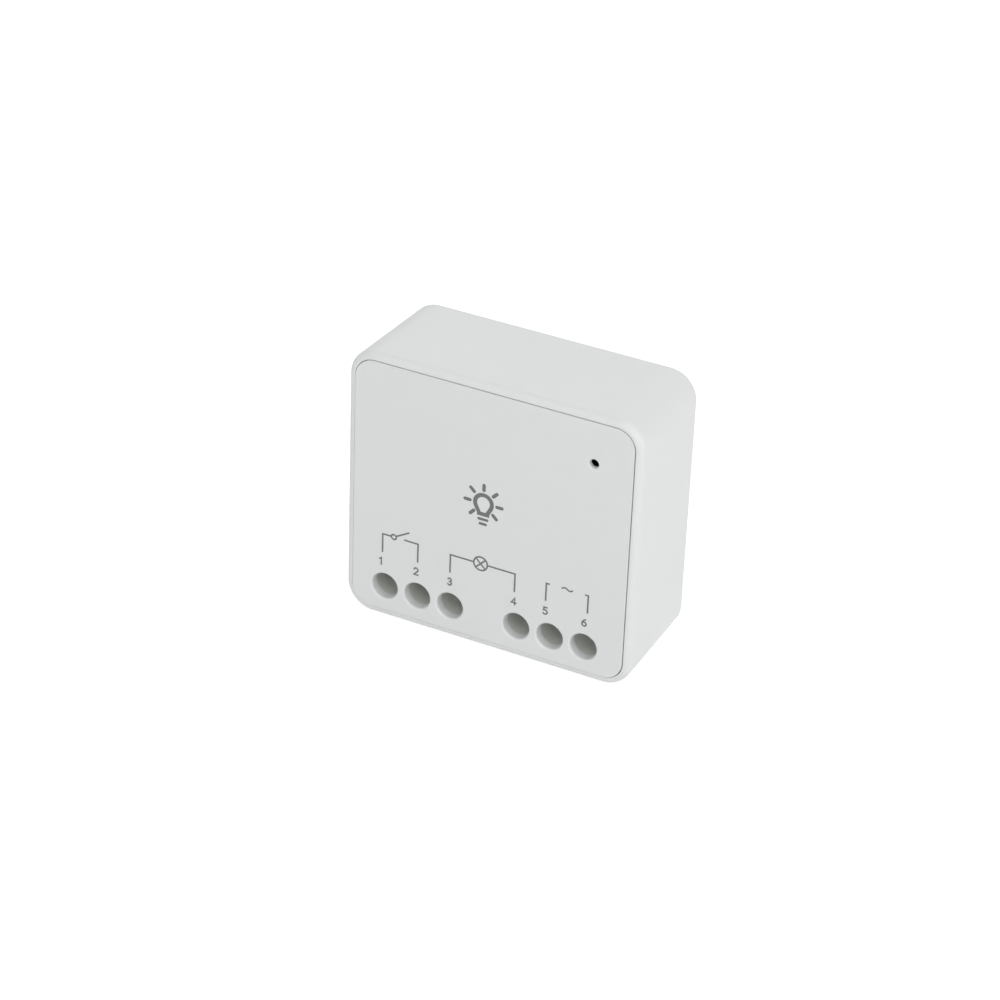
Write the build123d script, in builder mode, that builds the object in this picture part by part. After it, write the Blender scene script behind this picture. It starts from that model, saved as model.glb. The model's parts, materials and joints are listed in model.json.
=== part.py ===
from build123d import *
import math
import os

os.makedirs("parts", exist_ok=True)

# The relay module stands upright as it is looked at: X runs to the right, Z up, and the front
# face looks along -Y. The origin is the middle of the bottom face. All sizes are millimetres.
# A "depth" is a distance behind the front face.

# Housing
width = 43.0
height = 40.0
depth = 17.5
corner_radius = 4.0
side_draft = 0.4  # the sides and the top lean in by this much at the back, the bottom doesn't
front_rounding = 1.0
back_rounding = 0.5
wall = 1.5
back_wall = 1.4

# Front cover, a flush plate inside the housing's rim
rim_width = 1.05
seam_gap = 0.09
cover_slip = -0.08  # the cover sits to the left and low in its seat by this much
cover_thickness = 1.45
cover_edge_rounding = 0.08
hole_edge_rounding = 0.3

# Snap hooks of the cover
hook_width = 5.0
hook_thickness = 0.9
hook_reach = 5.6
hook_nib = 0.55
hook_nib_height = 1.3
hook_tip = 0.3
hook_clearance = 0.1
side_hook_height_share = 0.7875  # of the height
top_hook_spread_share = 0.375  # of the inner width

# Main board
board_back_room = 1.6  # between the board and the back wall
board_thickness = 1.2
board_clearance = 0.3
board_corner_radius = 2.0
lead_hole_clearance = 0.1
lead_overrun = 0.8  # how far a lead reaches out of the back of the board
lead_radius = 0.3
overrun = 0.5  # how far a cutting shape runs past the face that it opens

# Posts of the housing behind the board and pillars of the cover in front of it
post_radius = 1.0
post_pin_radius = 0.5
post_pin_clearance = 0.05
post_pin_short = 0.1
post_edge_distance = 1.1
post_low_share = 0.1125  # of the height
post_left_share = 0.6975
post_right_share = 0.57
pillar_radius = 0.8
pillar_block_gap = 1.6

# Terminals, counted 1 to 6 from the left
pitch_share = 0.125  # of the inner width
row_shift = -0.47
access_web = 1.1  # left between two access holes
block_gap = 0.15  # behind the cover
block_height_share = 0.22  # of the height
terminal_height_share = 0.3615  # the screws' axes, up the block
block_clearance = 0.1
block_rounding = 0.25
shaft_mouth_step = 0.18  # the shaft's mouth is wider than the access hole
shaft_guide_step = 0.17  # round the screw's head it is narrower
shaft_guide_rise = 0.2  # how far it reaches in front of the head
screw_head_play = 0.05
screw_head_height = 1.15
screw_head_chamfer = 0.15
screw_slot_width = 0.65
screw_slot_depth = 0.6
screw_cross_length = 2.3
thread_radius = 1.3
thread_pitch = 0.45
thread_groove = 0.2
screw_tip_gap = 0.05
cage_web = 1.0  # between two cages
cage_length_share = 0.5  # of the block's height
cage_thread_play = 0.05
cage_board_gap = 0.4
cage_side = 0.55
cage_plate = 1.2
cage_floor = 0.5
cage_play = 0.1
cage_side_play = 0.05
cage_rounding = 0.25
grip_groove_depth = 0.12
grip_groove_width = 0.3
grip_groove_pitch = 1.0
grip_groove_count = 3
cage_travel = 1.9
wire_space = 2.15
wire_entry_radius = 1.9
wire_entry_lead_in = 0.3
block_entry_radius = 1.5
block_entry_lead_in = 0.35
contact_thickness = 0.65
contact_side_play = 0.1
contact_slot_play = 0.05
contact_seat = 0.4
contact_leg_width = 1.0
contact_tail = 1.7
contact_bend = 0.3

# Relay, a flat type that lies on its coil
relay_width_share = 0.55  # of the inner width
relay_length_share = 0.4  # of the height
relay_front_gap = 1.25  # behind the cover
relay_x_share = -0.1975
relay_gap = 0.8  # between the terminal blocks and the relay
relay_wall = 0.8
relay_rounding = 0.5
relay_base_thickness = 1.5
relay_base_play = 0.1
coil_room = 0.15  # between the flanges and the case or the base
coil_flange_share = 0.5  # of the relay's length, where the case is deep enough
coil_flange_thickness = 0.8
coil_inset = 0.4  # of the winding from the flanges' edge
coil_tube_share = 0.275  # this and the next two: radii, of the flange's side
coil_core_share = 0.2
core_head_share = 0.35
core_play = 0.05
core_head_thickness = 0.8
yoke_thickness = 1.1
yoke_width_share = 0.75  # of the flange's side
yoke_coil_gap = 0.3
yoke_rivet_play = 0.02
pivot_drop = 0.3  # of the pivot below the yoke's outer side
armature_thickness = 1.0
armature_overlap = 0.4  # how far it reaches past the core's head
armature_gap = 0.05
armature_open_degrees = 2.5
armature_room = 3.6  # from the pole face to the case's wall
blade_thickness = 0.25
blade_width_share = 0.5  # of the flange's side
contact_button_radius = 0.9
contact_button_height = 0.6
contact_button_rise = 1.1  # of its middle above the case's inner wall
fixed_plate_thickness = 0.5
fixed_plate_width = 2.0
relay_pin_radius = 0.4
relay_pin_inset = 1.1
common_pin_thickness = 0.8
common_pin_width = 1.0
common_pin_back = 2.0  # its middle behind the pole face

# Mains transformer of the power supply
transformer_place_shares = (0.24, 0.465)  # here and below: of the inner width and the height
transformer_core_width_share = 0.26
transformer_core_thickness_share = 0.115
transformer_front_gap = 2.05  # behind the cover
transformer_leg = 1.3
transformer_centre_leg = 2.6
transformer_yoke = 1.5
transformer_core_gap = 0.1
transformer_stand = 0.8
transformer_flange_thickness = 0.6
transformer_flange_height_share = 0.235
transformer_play = 0.05
transformer_tube_wall = 0.5
transformer_winding_inset = 0.3
transformer_winding_rounding = 0.5
transformer_rail_width = 1.7
transformer_rail_short = 0.8  # the rails are shorter than the core is wide
rail_pin_count = 3

# Other parts in front of the board
bulk_radius_share = 0.1  # of the height
bulk_length_share = 0.275  # of the inner width
bulk_place_shares = (-0.415, 0.805)  # the left end of its axis
bulk_lead_spacing = 3.5
bulk_lead_out = 1.2
bulk_groove = 0.25
bulk_groove_place = 1.8
can_rounding = 0.4
part_seat_gap = 0.05
output_radius_share = 0.05  # of the inner width
output_height = 7.0
output_place_shares = (0.425, 0.4875)
output_lead_spacing = 2.0
inductor_radius_share = 0.0575  # of the inner width
inductor_height = 7.0
inductor_neck_step = 0.6
inductor_winding_inset = 0.25
inductor_flange = 1.1
inductor_place_shares = (0.405, 0.66)
inductor_lead_spacing = 2.4
fuse_radius_share = 0.0325  # of the height
fuse_waist = 0.2
fuse_cap_share = 0.17  # of its length
fuse_lead_out = 1.7
fuse_z_share = 0.3075
varistor_radius = 3.5
varistor_thickness = 2.4
varistor_place_shares = (0.205, 0.655)
varistor_stand = 0.8
varistor_lead_spacing = 5.0
bend_radius = 0.5

# Radio module
radio_size_shares = (0.36, 0.23)
radio_place_shares = (0.0625, 0.8225)
radio_thickness = 0.8
shield_size_shares = (0.24, 0.19)
shield_shift_share = -0.0475
shield_depth = 2.2
shield_wall = 0.2
radio_chip_size = 5.0
radio_chip_height = 0.9
antenna_width = 1.8
antenna_height_share = 0.13
antenna_thickness = 1.0
antenna_shift_share = 0.135

# Pairing button, a tactile switch behind the pinhole
button_place_shares = (0.3665, 0.818)
pinhole_radius = 0.65
pinhole_rounding = 0.25
pinhole_web = 0.75  # the cover's thickness round the pinhole
pinhole_relief_radius = 1.6
switch_size = 6.0
switch_height = 3.4
switch_frame_thickness = 0.25
switch_cavity_radius = 2.2
switch_cavity_depth = 1.4
plunger_radius = 1.75
plunger_guide_play = 0.05
plunger_flange_radius = 2.1
plunger_flange_height = 0.45
plunger_flange_gap = 0.05
plunger_nub_radius = 0.8
plunger_nub_height = 0.2
plunger_front_gap = 0.95  # behind the inside of the cover
plunger_rounding = 0.2
dome_radius = 2.0
dome_height = 0.4
dome_thickness = 0.08
switch_rivet_inset = 0.7
switch_rivet_radius = 0.35
switch_rivet_height = 0.15
switch_leg_spread = 2.6
switch_leg_rise = 2.25
switch_leg_seat = 0.4

# Flat parts on the back of the board: length, height up the board and thickness
bridge_size = (4.7, 4.0, 1.3)
controller_size = (4.9, 3.9, 1.35)
transistor_size = (2.9, 1.4, 1.0)
diode_size = (3.6, 2.5, 1.0)
chip_resistor_size = (2.0, 1.25, 0.5)
chip_capacitor_size = (2.0, 1.25, 0.85)
bridge_place_shares = (-0.315, 0.51)
controller_place_shares = (-0.13, 0.49)
resistor_row_shares = (-0.335, 0.38)
resistor_row_rise_share = 0.265  # to the second row
resistor_pitch_share = 0.0725
resistor_count = 4
upper_resistor_count = 3
capacitor_row_shares = (-0.325, 0.78)
capacitor_pitch_share = 0.0775
capacitor_count = 6
transistor_row_shares = (-0.04, 0.8725)
transistor_pitch_share = 0.105
transistor_count = 3
diode_column_shares = (0.035, 0.43)
diode_pitch_share = 0.085
diode_count = 3
chip_seat_gap = 0.1
chip_leg_thickness = 0.2
chip_leg_width = 0.42
chip_leg_out = 0.95
chip_leg_pitch = 1.27
bridge_leg_pitch = 2.54
controller_leg_count = 4  # on each side
bridge_leg_count = 2
transistor_leg_count = 2
chip_rounding = 0.12
solder_outer_radius = 0.55  # how far a joint spreads beyond its lead
solder_top_radius = 0.15
solder_height = 0.7
solder_lead_play = 0.02

# Depths of the board
cavity_back = depth - back_wall
board_back = cavity_back - board_back_room
board_depth = board_back - board_thickness  # its front face
lead_end = board_back + lead_overrun
inner_width = width - 2 * wall


def lean(distance):
    """How far the sides and the top have leaned in at this depth."""
    return side_draft * distance / depth


def behind_front(distance):
    """The plane at this depth, parallel to the front face and looking out of the front."""
    return Plane.XZ.offset(depth / 2 - distance)


def y_at(distance):
    """The Y coordinate of a depth."""
    return distance - depth / 2


def place_at(shares):
    """A place on the board from shares of the inner width and of the height."""
    across, up = shares
    return inner_width * across, height * up


def front_outline(inset):
    """The front face's rounded outline, drawn in by an inset."""
    with Locations((0, height / 2)):
        RectangleRounded(width - 2 * inset, height - 2 * inset, corner_radius - inset)


def finish(piece, name):
    """Label a finished piece and write it to its own file."""
    piece.part.label = name
    export_step(piece.part, "parts/" + name + ".step")


# The terminals: across, up the front, and from the board forwards
pitch = inner_width * pitch_share
pole_steps = (-3, -2, -1, 1, 2, 3)
pole_x = [row_shift + step * pitch for step in pole_steps]
access_radius = (pitch - access_web) / 2
shaft_mouth_radius = access_radius + shaft_mouth_step
shaft_guide_radius = access_radius - shaft_guide_step
screw_head_radius = shaft_guide_radius - screw_head_play
cage_width = pitch - cage_web
contact_width = cage_width - 2 * cage_side - 2 * contact_side_play

block_front = cover_thickness + block_gap
block_low = wall + block_clearance
block_height = height * block_height_share
block_high = block_low + block_height
terminal_height = block_low + block_height * terminal_height_share
cage_length = block_height * cage_length_share

cage_back = board_depth - cage_board_gap
cage_floor_front = cage_back - cage_floor
contact_back = cage_floor_front - wire_space
contact_front = contact_back - contact_thickness
cage_front = contact_front - cage_play - cage_plate
chamber_front = cage_front - cage_play - cage_travel
screw_depth = chamber_front - screw_head_height
wire_depth = (contact_back + cage_floor_front) / 2
cage_low = terminal_height - cage_length / 2
chamber_low = cage_low - cage_play
chamber_high = cage_low + cage_length + cage_play
contact_low = chamber_low - contact_seat
contact_high = chamber_high + contact_tail
leg_z = contact_high - contact_thickness / 2

post_x = width / 2 - wall - lean(board_back) - board_clearance - post_edge_distance
pillar_x = post_x + post_edge_distance - pillar_radius
post_places = [
    (-post_x, height * post_low_share),
    (post_x, height * post_low_share),
    (-post_x, height * post_left_share),
    (post_x, height * post_right_share),
]
side_hook_height = height * side_hook_height_share
top_hook_spread = inner_width * top_hook_spread_share

# The relay, with a coil as large as its case allows
relay_x = inner_width * relay_x_share
relay_width = inner_width * relay_width_share
relay_length = height * relay_length_share
relay_low = block_high + relay_gap
relay_z = relay_low + relay_length / 2
relay_front = cover_thickness + relay_front_gap
relay_height = board_depth - relay_front
relay_coil_depth = relay_height - relay_wall - relay_base_thickness
coil_flange = min(relay_length * coil_flange_share, relay_coil_depth - 2 * coil_room)
coil_radius = coil_flange / 2 - coil_inset
coil_tube_radius = coil_flange * coil_tube_share
coil_core_radius = coil_flange * coil_core_share
core_head_radius = coil_flange * core_head_share
yoke_width = coil_flange * yoke_width_share
blade_width = coil_flange * blade_width_share
relay_left = relay_x - relay_width / 2
relay_right = relay_x + relay_width / 2
coil_depth = (relay_front + relay_wall + board_depth - relay_base_thickness) / 2
yoke_left = relay_left + relay_wall + relay_base_play
pole_face = relay_right - relay_wall - armature_room
contact_button_z = relay_low + relay_wall + contact_button_rise

# Other parts in front of the board
transformer_x, transformer_z = place_at(transformer_place_shares)
transformer_core_width = inner_width * transformer_core_width_share
transformer_core_thickness = height * transformer_core_thickness_share
transformer_flange_height = height * transformer_flange_height_share
bulk_left, bulk_z = place_at(bulk_place_shares)
bulk_radius = height * bulk_radius_share
bulk_length = inner_width * bulk_length_share
bulk_depth = board_depth - bulk_radius - part_seat_gap
output_x, output_z = place_at(output_place_shares)
output_radius = inner_width * output_radius_share
inductor_x, inductor_z = place_at(inductor_place_shares)
inductor_radius = inner_width * inductor_radius_share
inductor_neck_radius = inductor_radius - inductor_neck_step
fuse_z = height * fuse_z_share
fuse_radius = height * fuse_radius_share
fuse_lead_span = transformer_core_width
fuse_length = fuse_lead_span - 2 * fuse_lead_out
fuse_depth = board_depth - fuse_radius - fuse_waist - part_seat_gap
varistor_x, varistor_z = place_at(varistor_place_shares)
varistor_depth = board_depth - varistor_stand - varistor_radius
radio_x, radio_z = place_at(radio_place_shares)
radio_width, radio_height = place_at(radio_size_shares)
shield_width, shield_height = place_at(shield_size_shares)
antenna_height = height * antenna_height_share
button_x, button_z = place_at(button_place_shares)

# Every lead that goes through the board: its place and the radius of a circle round it
leads = []


def hook_planes():
    """A plane through each snap hook: its X points out through the wall, its Y to the back."""
    side = width / 2 - wall
    top = height - wall
    middle_x = row_shift
    places = [
        ((side, side_hook_height), (1, 0, 0)),
        ((-side, side_hook_height), (-1, 0, 0)),
        ((middle_x - top_hook_spread / 2, top), (0, 0, 1)),
        ((middle_x + top_hook_spread / 2, top), (0, 0, 1)),
        ((middle_x, wall), (0, 0, -1)),
    ]
    planes = []
    for (x, z), outward in places:
        across = Vector(outward).cross(Vector(0, 1, 0))
        planes.append(Plane(origin=(x, y_at(0), z), x_dir=outward, z_dir=across))
    return planes


hook_end = cover_thickness + hook_reach
hook_face = -(lean(hook_end) + hook_clearance)
hook_catch = hook_end - hook_nib_height


def leaning_box(inset, front, back):
    """A block between two depths with the housing's leaning sides, drawn in by an inset."""
    with BuildPart() as block:
        with BuildSketch(Plane.XY):
            with BuildLine():
                front_side = width / 2 - inset - lean(front)
                back_side = width / 2 - inset - lean(back)
                Polyline(
                    (-front_side, y_at(front)),
                    (front_side, y_at(front)),
                    (back_side, y_at(back)),
                    (-back_side, y_at(back)),
                    close=True,
                )
            make_face()
        extrude(amount=height)
        with BuildSketch(Plane.YZ):
            with BuildLine():
                Polyline(
                    (y_at(front), inset),
                    (y_at(back), inset),
                    (y_at(back), height - inset - lean(back)),
                    (y_at(front), height - inset - lean(front)),
                    close=True,
                )
            make_face()
        extrude(amount=width / 2, both=True, mode=Mode.INTERSECT)
        ends = block.faces().sort_by(Axis.Y)
        end_edges = ends[0].edges() + ends[-1].edges()
        fillet(block.edges() - end_edges, corner_radius - inset)
    return block.part


# Housing
outer_form = leaning_box(0, 0, depth)
inner_form = leaning_box(wall, cover_thickness, cavity_back)
with BuildPart() as rear_housing:
    add(outer_form)
    fillet(rear_housing.faces().sort_by(Axis.Y)[0].edges(), front_rounding)
    fillet(rear_housing.faces().sort_by(Axis.Y)[-1].edges(), back_rounding)
    # the seat of the cover
    with BuildSketch(behind_front(cover_thickness)):
        front_outline(rim_width)
    extrude(amount=cover_thickness, mode=Mode.SUBTRACT)
    add(inner_form, mode=Mode.SUBTRACT)
    # posts that carry the board, each with a pin through it
    with BuildSketch(behind_front(cavity_back)):
        with Locations(*post_places):
            Circle(post_radius)
    extrude(amount=cavity_back - board_back)
    with BuildSketch(behind_front(board_back)):
        with Locations(*post_places):
            Circle(post_pin_radius)
    extrude(amount=board_thickness - post_pin_short)
    # pockets that the cover's hooks catch in
    for plane in hook_planes():
        with BuildSketch(plane):
            pocket_low = hook_catch - hook_clearance
            pocket_high = hook_end + hook_clearance
            pocket_reach = hook_face + hook_nib + hook_clearance
            with Locations(((pocket_reach - overrun) / 2, (pocket_low + pocket_high) / 2)):
                Rectangle(pocket_reach + overrun, pocket_high - pocket_low)
        extrude(amount=hook_width / 2 + hook_clearance, both=True, mode=Mode.SUBTRACT)
    # wire entries through the bottom
    for x in pole_x:
        with Locations(Plane(origin=(x, y_at(wire_depth), 0), z_dir=(0, 0, -1))):
            CounterSinkHole(
                wire_entry_radius,
                wire_entry_radius + wire_entry_lead_in,
                depth=wall + overrun,
                counter_sink_angle=90,
            )
finish(rear_housing, "rear_housing")

# Front cover
pillar_places = [
    (-pillar_x, bulk_z + bulk_radius),
    (pillar_x, height * post_right_share),
    (pillar_x, block_high + pillar_block_gap),
    (row_shift, terminal_height + pitch / 2),
]
with BuildPart() as front_cover:
    with BuildSketch(behind_front(cover_thickness)):
        with Locations((cover_slip, cover_slip)):
            front_outline(rim_width + seam_gap)
    extrude(amount=cover_thickness)
    fillet(front_cover.faces().sort_by(Axis.Y)[0].edges(), cover_edge_rounding)
    with BuildSketch(behind_front(cover_thickness)):
        with Locations(*[(x, terminal_height) for x in pole_x]):
            Circle(access_radius)
        with Locations((button_x, button_z)):
            Circle(pinhole_radius)
    extrude(amount=cover_thickness, mode=Mode.SUBTRACT)
    front_edges = front_cover.faces().sort_by(Axis.Y)[0].edges().filter_by(GeomType.CIRCLE)
    hole_edges = front_edges.filter_by(lambda edge: edge.is_closed).sort_by(Edge.radius)
    fillet(hole_edges[1:], hole_edge_rounding)
    fillet(hole_edges[0], pinhole_rounding)
    # the cover is thinner round the pinhole
    with BuildSketch(behind_front(cover_thickness)):
        with Locations((button_x, button_z)):
            Circle(pinhole_relief_radius)
    extrude(amount=cover_thickness - pinhole_web, mode=Mode.SUBTRACT)
    # pillars that hold the board down
    with BuildSketch(behind_front(board_depth)):
        with Locations(*pillar_places):
            Circle(pillar_radius)
    extrude(amount=board_depth - cover_thickness)
    for plane in hook_planes():
        with BuildSketch(plane):
            with BuildLine():
                Polyline(
                    (hook_face - hook_thickness, cover_thickness),
                    (hook_face, cover_thickness),
                    (hook_face, hook_catch),
                    (hook_face + hook_nib, hook_catch),
                    (hook_face + hook_nib, hook_catch + hook_tip),
                    (hook_face, hook_end),
                    (hook_face - hook_thickness, hook_end),
                    close=True,
                )
            make_face()
        extrude(amount=hook_width / 2, both=True)
finish(front_cover, "front_cover")


def terminal_block(poles):
    """A moulded block for some poles: a screw shaft, a cage chamber and a wire entry each."""
    left = poles[0] - pitch / 2
    right = poles[-1] + pitch / 2
    middle_z = (block_low + block_high) / 2
    with BuildPart() as block:
        with BuildSketch(behind_front(board_depth)):
            with Locations(((left + right) / 2, middle_z)):
                Rectangle(right - left, block_height)
        extrude(amount=board_depth - block_front)
        fillet(block.edges().group_by(Axis.Y)[0], block_rounding)
        for x in poles:
            guide_front = screw_depth - shaft_guide_rise
            with BuildSketch(behind_front(guide_front)):
                with Locations((x, terminal_height)):
                    Circle(shaft_mouth_radius)
            extrude(amount=guide_front - block_front, mode=Mode.SUBTRACT)
            with BuildSketch(behind_front(chamber_front)):
                with Locations((x, terminal_height)):
                    Circle(shaft_guide_radius)
            extrude(amount=chamber_front - guide_front, mode=Mode.SUBTRACT)
            with BuildSketch(behind_front(board_depth)):
                with Locations((x, terminal_height)):
                    Rectangle(cage_width + 2 * cage_side_play, chamber_high - chamber_low)
            extrude(amount=board_depth - chamber_front, mode=Mode.SUBTRACT)
            with BuildSketch(behind_front(board_depth)):
                with Locations((x, (contact_low + contact_high) / 2)):
                    Rectangle(
                        contact_width + 2 * contact_slot_play,
                        contact_high - contact_low + 2 * contact_slot_play,
                    )
            extrude(amount=board_depth - contact_front, mode=Mode.SUBTRACT)
            with Locations(Plane(origin=(x, y_at(wire_depth), block_low), z_dir=(0, 0, -1))):
                CounterSinkHole(
                    block_entry_radius,
                    block_entry_radius + block_entry_lead_in,
                    depth=chamber_low - block_low + cage_play,
                    counter_sink_angle=90,
                )
    return block


finish(terminal_block(pole_x[:3]), "terminal_block_left")
finish(terminal_block(pole_x[3:]), "terminal_block_right")


def terminal_contacts(poles):
    """Bent contacts: a bar above the wire, and a leg through the board."""
    with BuildPart() as contacts:
        for x in poles:
            with BuildSketch(behind_front(contact_back)):
                with Locations((x, (contact_low + contact_high) / 2)):
                    Rectangle(contact_width, contact_high - contact_low)
            extrude(amount=contact_thickness)
            with BuildSketch(behind_front(lead_end)):
                with Locations((x, leg_z)):
                    Rectangle(contact_leg_width, contact_thickness)
            extrude(amount=lead_end - contact_back)
        bends = contacts.edges().group_by(Axis.Y)[0].filter_by(Axis.X).group_by(Axis.Z)[-1]
        fillet(bends, contact_bend)
    return contacts


finish(terminal_contacts(pole_x[:3]), "terminal_contacts_left")
finish(terminal_contacts(pole_x[3:]), "terminal_contacts_right")
leads += [(x, leg_z, math.hypot(contact_leg_width, contact_thickness) / 2) for x in pole_x]


def screw_outline():
    """Half the section of a clamp screw: radius across, depth along. Its thread is a row of grooves."""
    tip = contact_front - screw_tip_gap
    points = [
        (0, screw_depth),
        (screw_head_radius - screw_head_chamfer, screw_depth),
        (screw_head_radius, screw_depth + screw_head_chamfer),
        (screw_head_radius, chamber_front),
        (thread_radius, chamber_front),
    ]
    turns = int((tip - chamber_front) / thread_pitch)
    for turn in range(turns):
        start = chamber_front + turn * thread_pitch
        quarter = thread_pitch / 4
        points.append((thread_radius, start + quarter))
        points.append((thread_radius - thread_groove, start + 2 * quarter))
        points.append((thread_radius, start + 3 * quarter))
    points.append((thread_radius, tip - thread_groove))
    points.append((thread_radius - thread_groove, tip))
    points.append((0, tip))
    return points


for number, x in enumerate(pole_x, 1):
    with BuildPart() as clamp_screw:
        axis_plane = Plane(origin=(x, y_at(0), terminal_height), x_dir=(1, 0, 0), z_dir=(0, 0, 1))
        with BuildSketch(axis_plane):
            with BuildLine():
                Polyline(*screw_outline(), close=True)
            make_face()
        revolve(axis=Axis((x, 0, terminal_height), (0, 1, 0)))
        with BuildSketch(behind_front(screw_depth + screw_slot_depth)):
            with Locations((x, terminal_height)):
                Rectangle(2 * screw_head_radius, screw_slot_width)
                Rectangle(screw_slot_width, screw_cross_length)
        extrude(amount=screw_slot_depth, mode=Mode.SUBTRACT)
    finish(clamp_screw, "clamp_screw_" + str(number))

for number, x in enumerate(pole_x, 1):
    with BuildPart() as clamp_cage:
        with BuildSketch(Plane.XY.offset(cage_low)):
            with Locations((x, y_at((cage_front + cage_back) / 2))):
                RectangleRounded(cage_width, cage_back - cage_front, cage_rounding)
            with Locations((x, y_at((cage_front + cage_plate + cage_floor_front) / 2))):
                Rectangle(
                    cage_width - 2 * cage_side,
                    cage_floor_front - cage_front - cage_plate,
                    mode=Mode.SUBTRACT,
                )
        extrude(amount=cage_length)
        with BuildSketch(behind_front(cage_front + cage_plate)):
            with Locations((x, terminal_height)):
                Circle(thread_radius + cage_thread_play)
        extrude(amount=cage_plate, mode=Mode.SUBTRACT)
        with BuildSketch(behind_front(cage_floor_front + grip_groove_depth)):
            with GridLocations(0, grip_groove_pitch, 1, grip_groove_count):
                with Locations((x, terminal_height)):
                    Rectangle(cage_width - 2 * cage_side, grip_groove_width)
        extrude(amount=grip_groove_depth, mode=Mode.SUBTRACT)
    finish(clamp_cage, "clamp_cage_" + str(number))

# Relay
with BuildPart() as relay_case:
    with BuildSketch(behind_front(board_depth)):
        with Locations((relay_x, relay_z)):
            Rectangle(relay_width, relay_length)
    extrude(amount=relay_height)
    fillet(relay_case.edges().filter_by(Axis.Y), relay_rounding)
    fillet(relay_case.faces().sort_by(Axis.Y)[0].edges(), relay_rounding)
    with BuildSketch(behind_front(board_depth)):
        with Locations((relay_x, relay_z)):
            Rectangle(relay_width - 2 * relay_wall, relay_length - 2 * relay_wall)
    extrude(amount=relay_height - relay_wall, mode=Mode.SUBTRACT)
finish(relay_case, "relay_case")

inner_left = relay_left + relay_wall
inner_right = relay_right - relay_wall
inner_low = relay_low + relay_wall
inner_high = relay_low + relay_length - relay_wall
coil_pin_places = [
    (inner_left + relay_pin_inset, inner_low + relay_pin_inset),
    (inner_left + relay_pin_inset, inner_high - relay_pin_inset),
]
yoke_coil_side = relay_z + coil_flange / 2 + yoke_coil_gap
yoke_outer_side = yoke_coil_side + yoke_thickness
armature_face = pole_face + armature_gap  # where the armature lies when it is pulled in
pivot_x = armature_face
pivot_z = yoke_outer_side - pivot_drop
armature_length = yoke_outer_side - relay_z + core_head_radius + armature_overlap
common_pin_x = pole_face - common_pin_back
common_pin_z = yoke_outer_side + common_pin_thickness / 2
blade_x = armature_face + armature_thickness
fixed_face = blade_x - contact_button_height - armature_gap
fixed_plate_x = fixed_face - contact_button_height - fixed_plate_thickness / 2
blade_front = coil_depth - blade_width / 2
base_front = board_depth - relay_base_thickness

with BuildPart() as relay_base:
    with BuildSketch(behind_front(board_depth)):
        with Locations((relay_x, relay_z)):
            Rectangle(
                inner_right - inner_left - 2 * relay_base_play,
                inner_high - inner_low - 2 * relay_base_play,
            )
        with Locations(*coil_pin_places):
            Circle(relay_pin_radius, mode=Mode.SUBTRACT)
        with Locations((common_pin_x, common_pin_z)):
            Rectangle(common_pin_width, common_pin_thickness, mode=Mode.SUBTRACT)
        with Locations((fixed_plate_x, contact_button_z)):
            Rectangle(fixed_plate_thickness, fixed_plate_width, mode=Mode.SUBTRACT)
    extrude(amount=relay_base_thickness)
finish(relay_base, "relay_base")

coil_centre = (y_at(coil_depth), relay_z)
bobbin_left = yoke_left + yoke_thickness
head_left = pole_face - core_head_thickness

with BuildPart() as relay_bobbin:
    for flange_left in (bobbin_left, head_left - coil_flange_thickness):
        with BuildSketch(Plane.YZ.offset(flange_left)):
            with Locations(coil_centre):
                RectangleRounded(coil_flange, coil_flange, relay_rounding)
        extrude(amount=coil_flange_thickness)
    with BuildSketch(Plane.YZ.offset(bobbin_left)):
        with Locations(coil_centre):
            Circle(coil_tube_radius)
    extrude(amount=head_left - bobbin_left)
    with BuildSketch(Plane.YZ.offset(bobbin_left)):
        with Locations(coil_centre):
            Circle(coil_core_radius + core_play)
    extrude(amount=head_left - bobbin_left, mode=Mode.SUBTRACT)
finish(relay_bobbin, "relay_bobbin")

with BuildPart() as relay_winding:
    with BuildSketch(Plane.YZ.offset(bobbin_left + coil_flange_thickness)):
        with Locations(coil_centre):
            Circle(coil_radius)
            Circle(coil_tube_radius, mode=Mode.SUBTRACT)
    extrude(amount=head_left - bobbin_left - 2 * coil_flange_thickness)
finish(relay_winding, "relay_winding")

with BuildPart() as relay_core:
    with BuildSketch(Plane.YZ.offset(yoke_left)):
        with Locations(coil_centre):
            Circle(coil_core_radius)
    extrude(amount=head_left - yoke_left)
    with BuildSketch(Plane.YZ.offset(head_left)):
        with Locations(coil_centre):
            Circle(core_head_radius)
    extrude(amount=core_head_thickness)
finish(relay_core, "relay_core")

with BuildPart() as relay_yoke:
    yoke_low = relay_z - core_head_radius
    yoke_right = pivot_x - armature_gap
    with BuildSketch(behind_front(coil_depth)):
        with Locations((yoke_left + yoke_thickness / 2, (yoke_low + yoke_outer_side) / 2)):
            Rectangle(yoke_thickness, yoke_outer_side - yoke_low)
        with Locations(((yoke_left + yoke_right) / 2, yoke_outer_side - yoke_thickness / 2)):
            Rectangle(yoke_right - yoke_left, yoke_thickness)
    extrude(amount=yoke_width / 2, both=True)
    corner = relay_yoke.edges().filter_by(Axis.Y).sort_by(Axis.X)[:2].sort_by(Axis.Z)[-1]
    fillet(corner, yoke_thickness)
    with BuildSketch(Plane.YZ.offset(yoke_left)):
        with Locations(coil_centre):
            Circle(coil_core_radius + yoke_rivet_play)
    extrude(amount=yoke_thickness, mode=Mode.SUBTRACT)
finish(relay_yoke, "relay_yoke")

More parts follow.
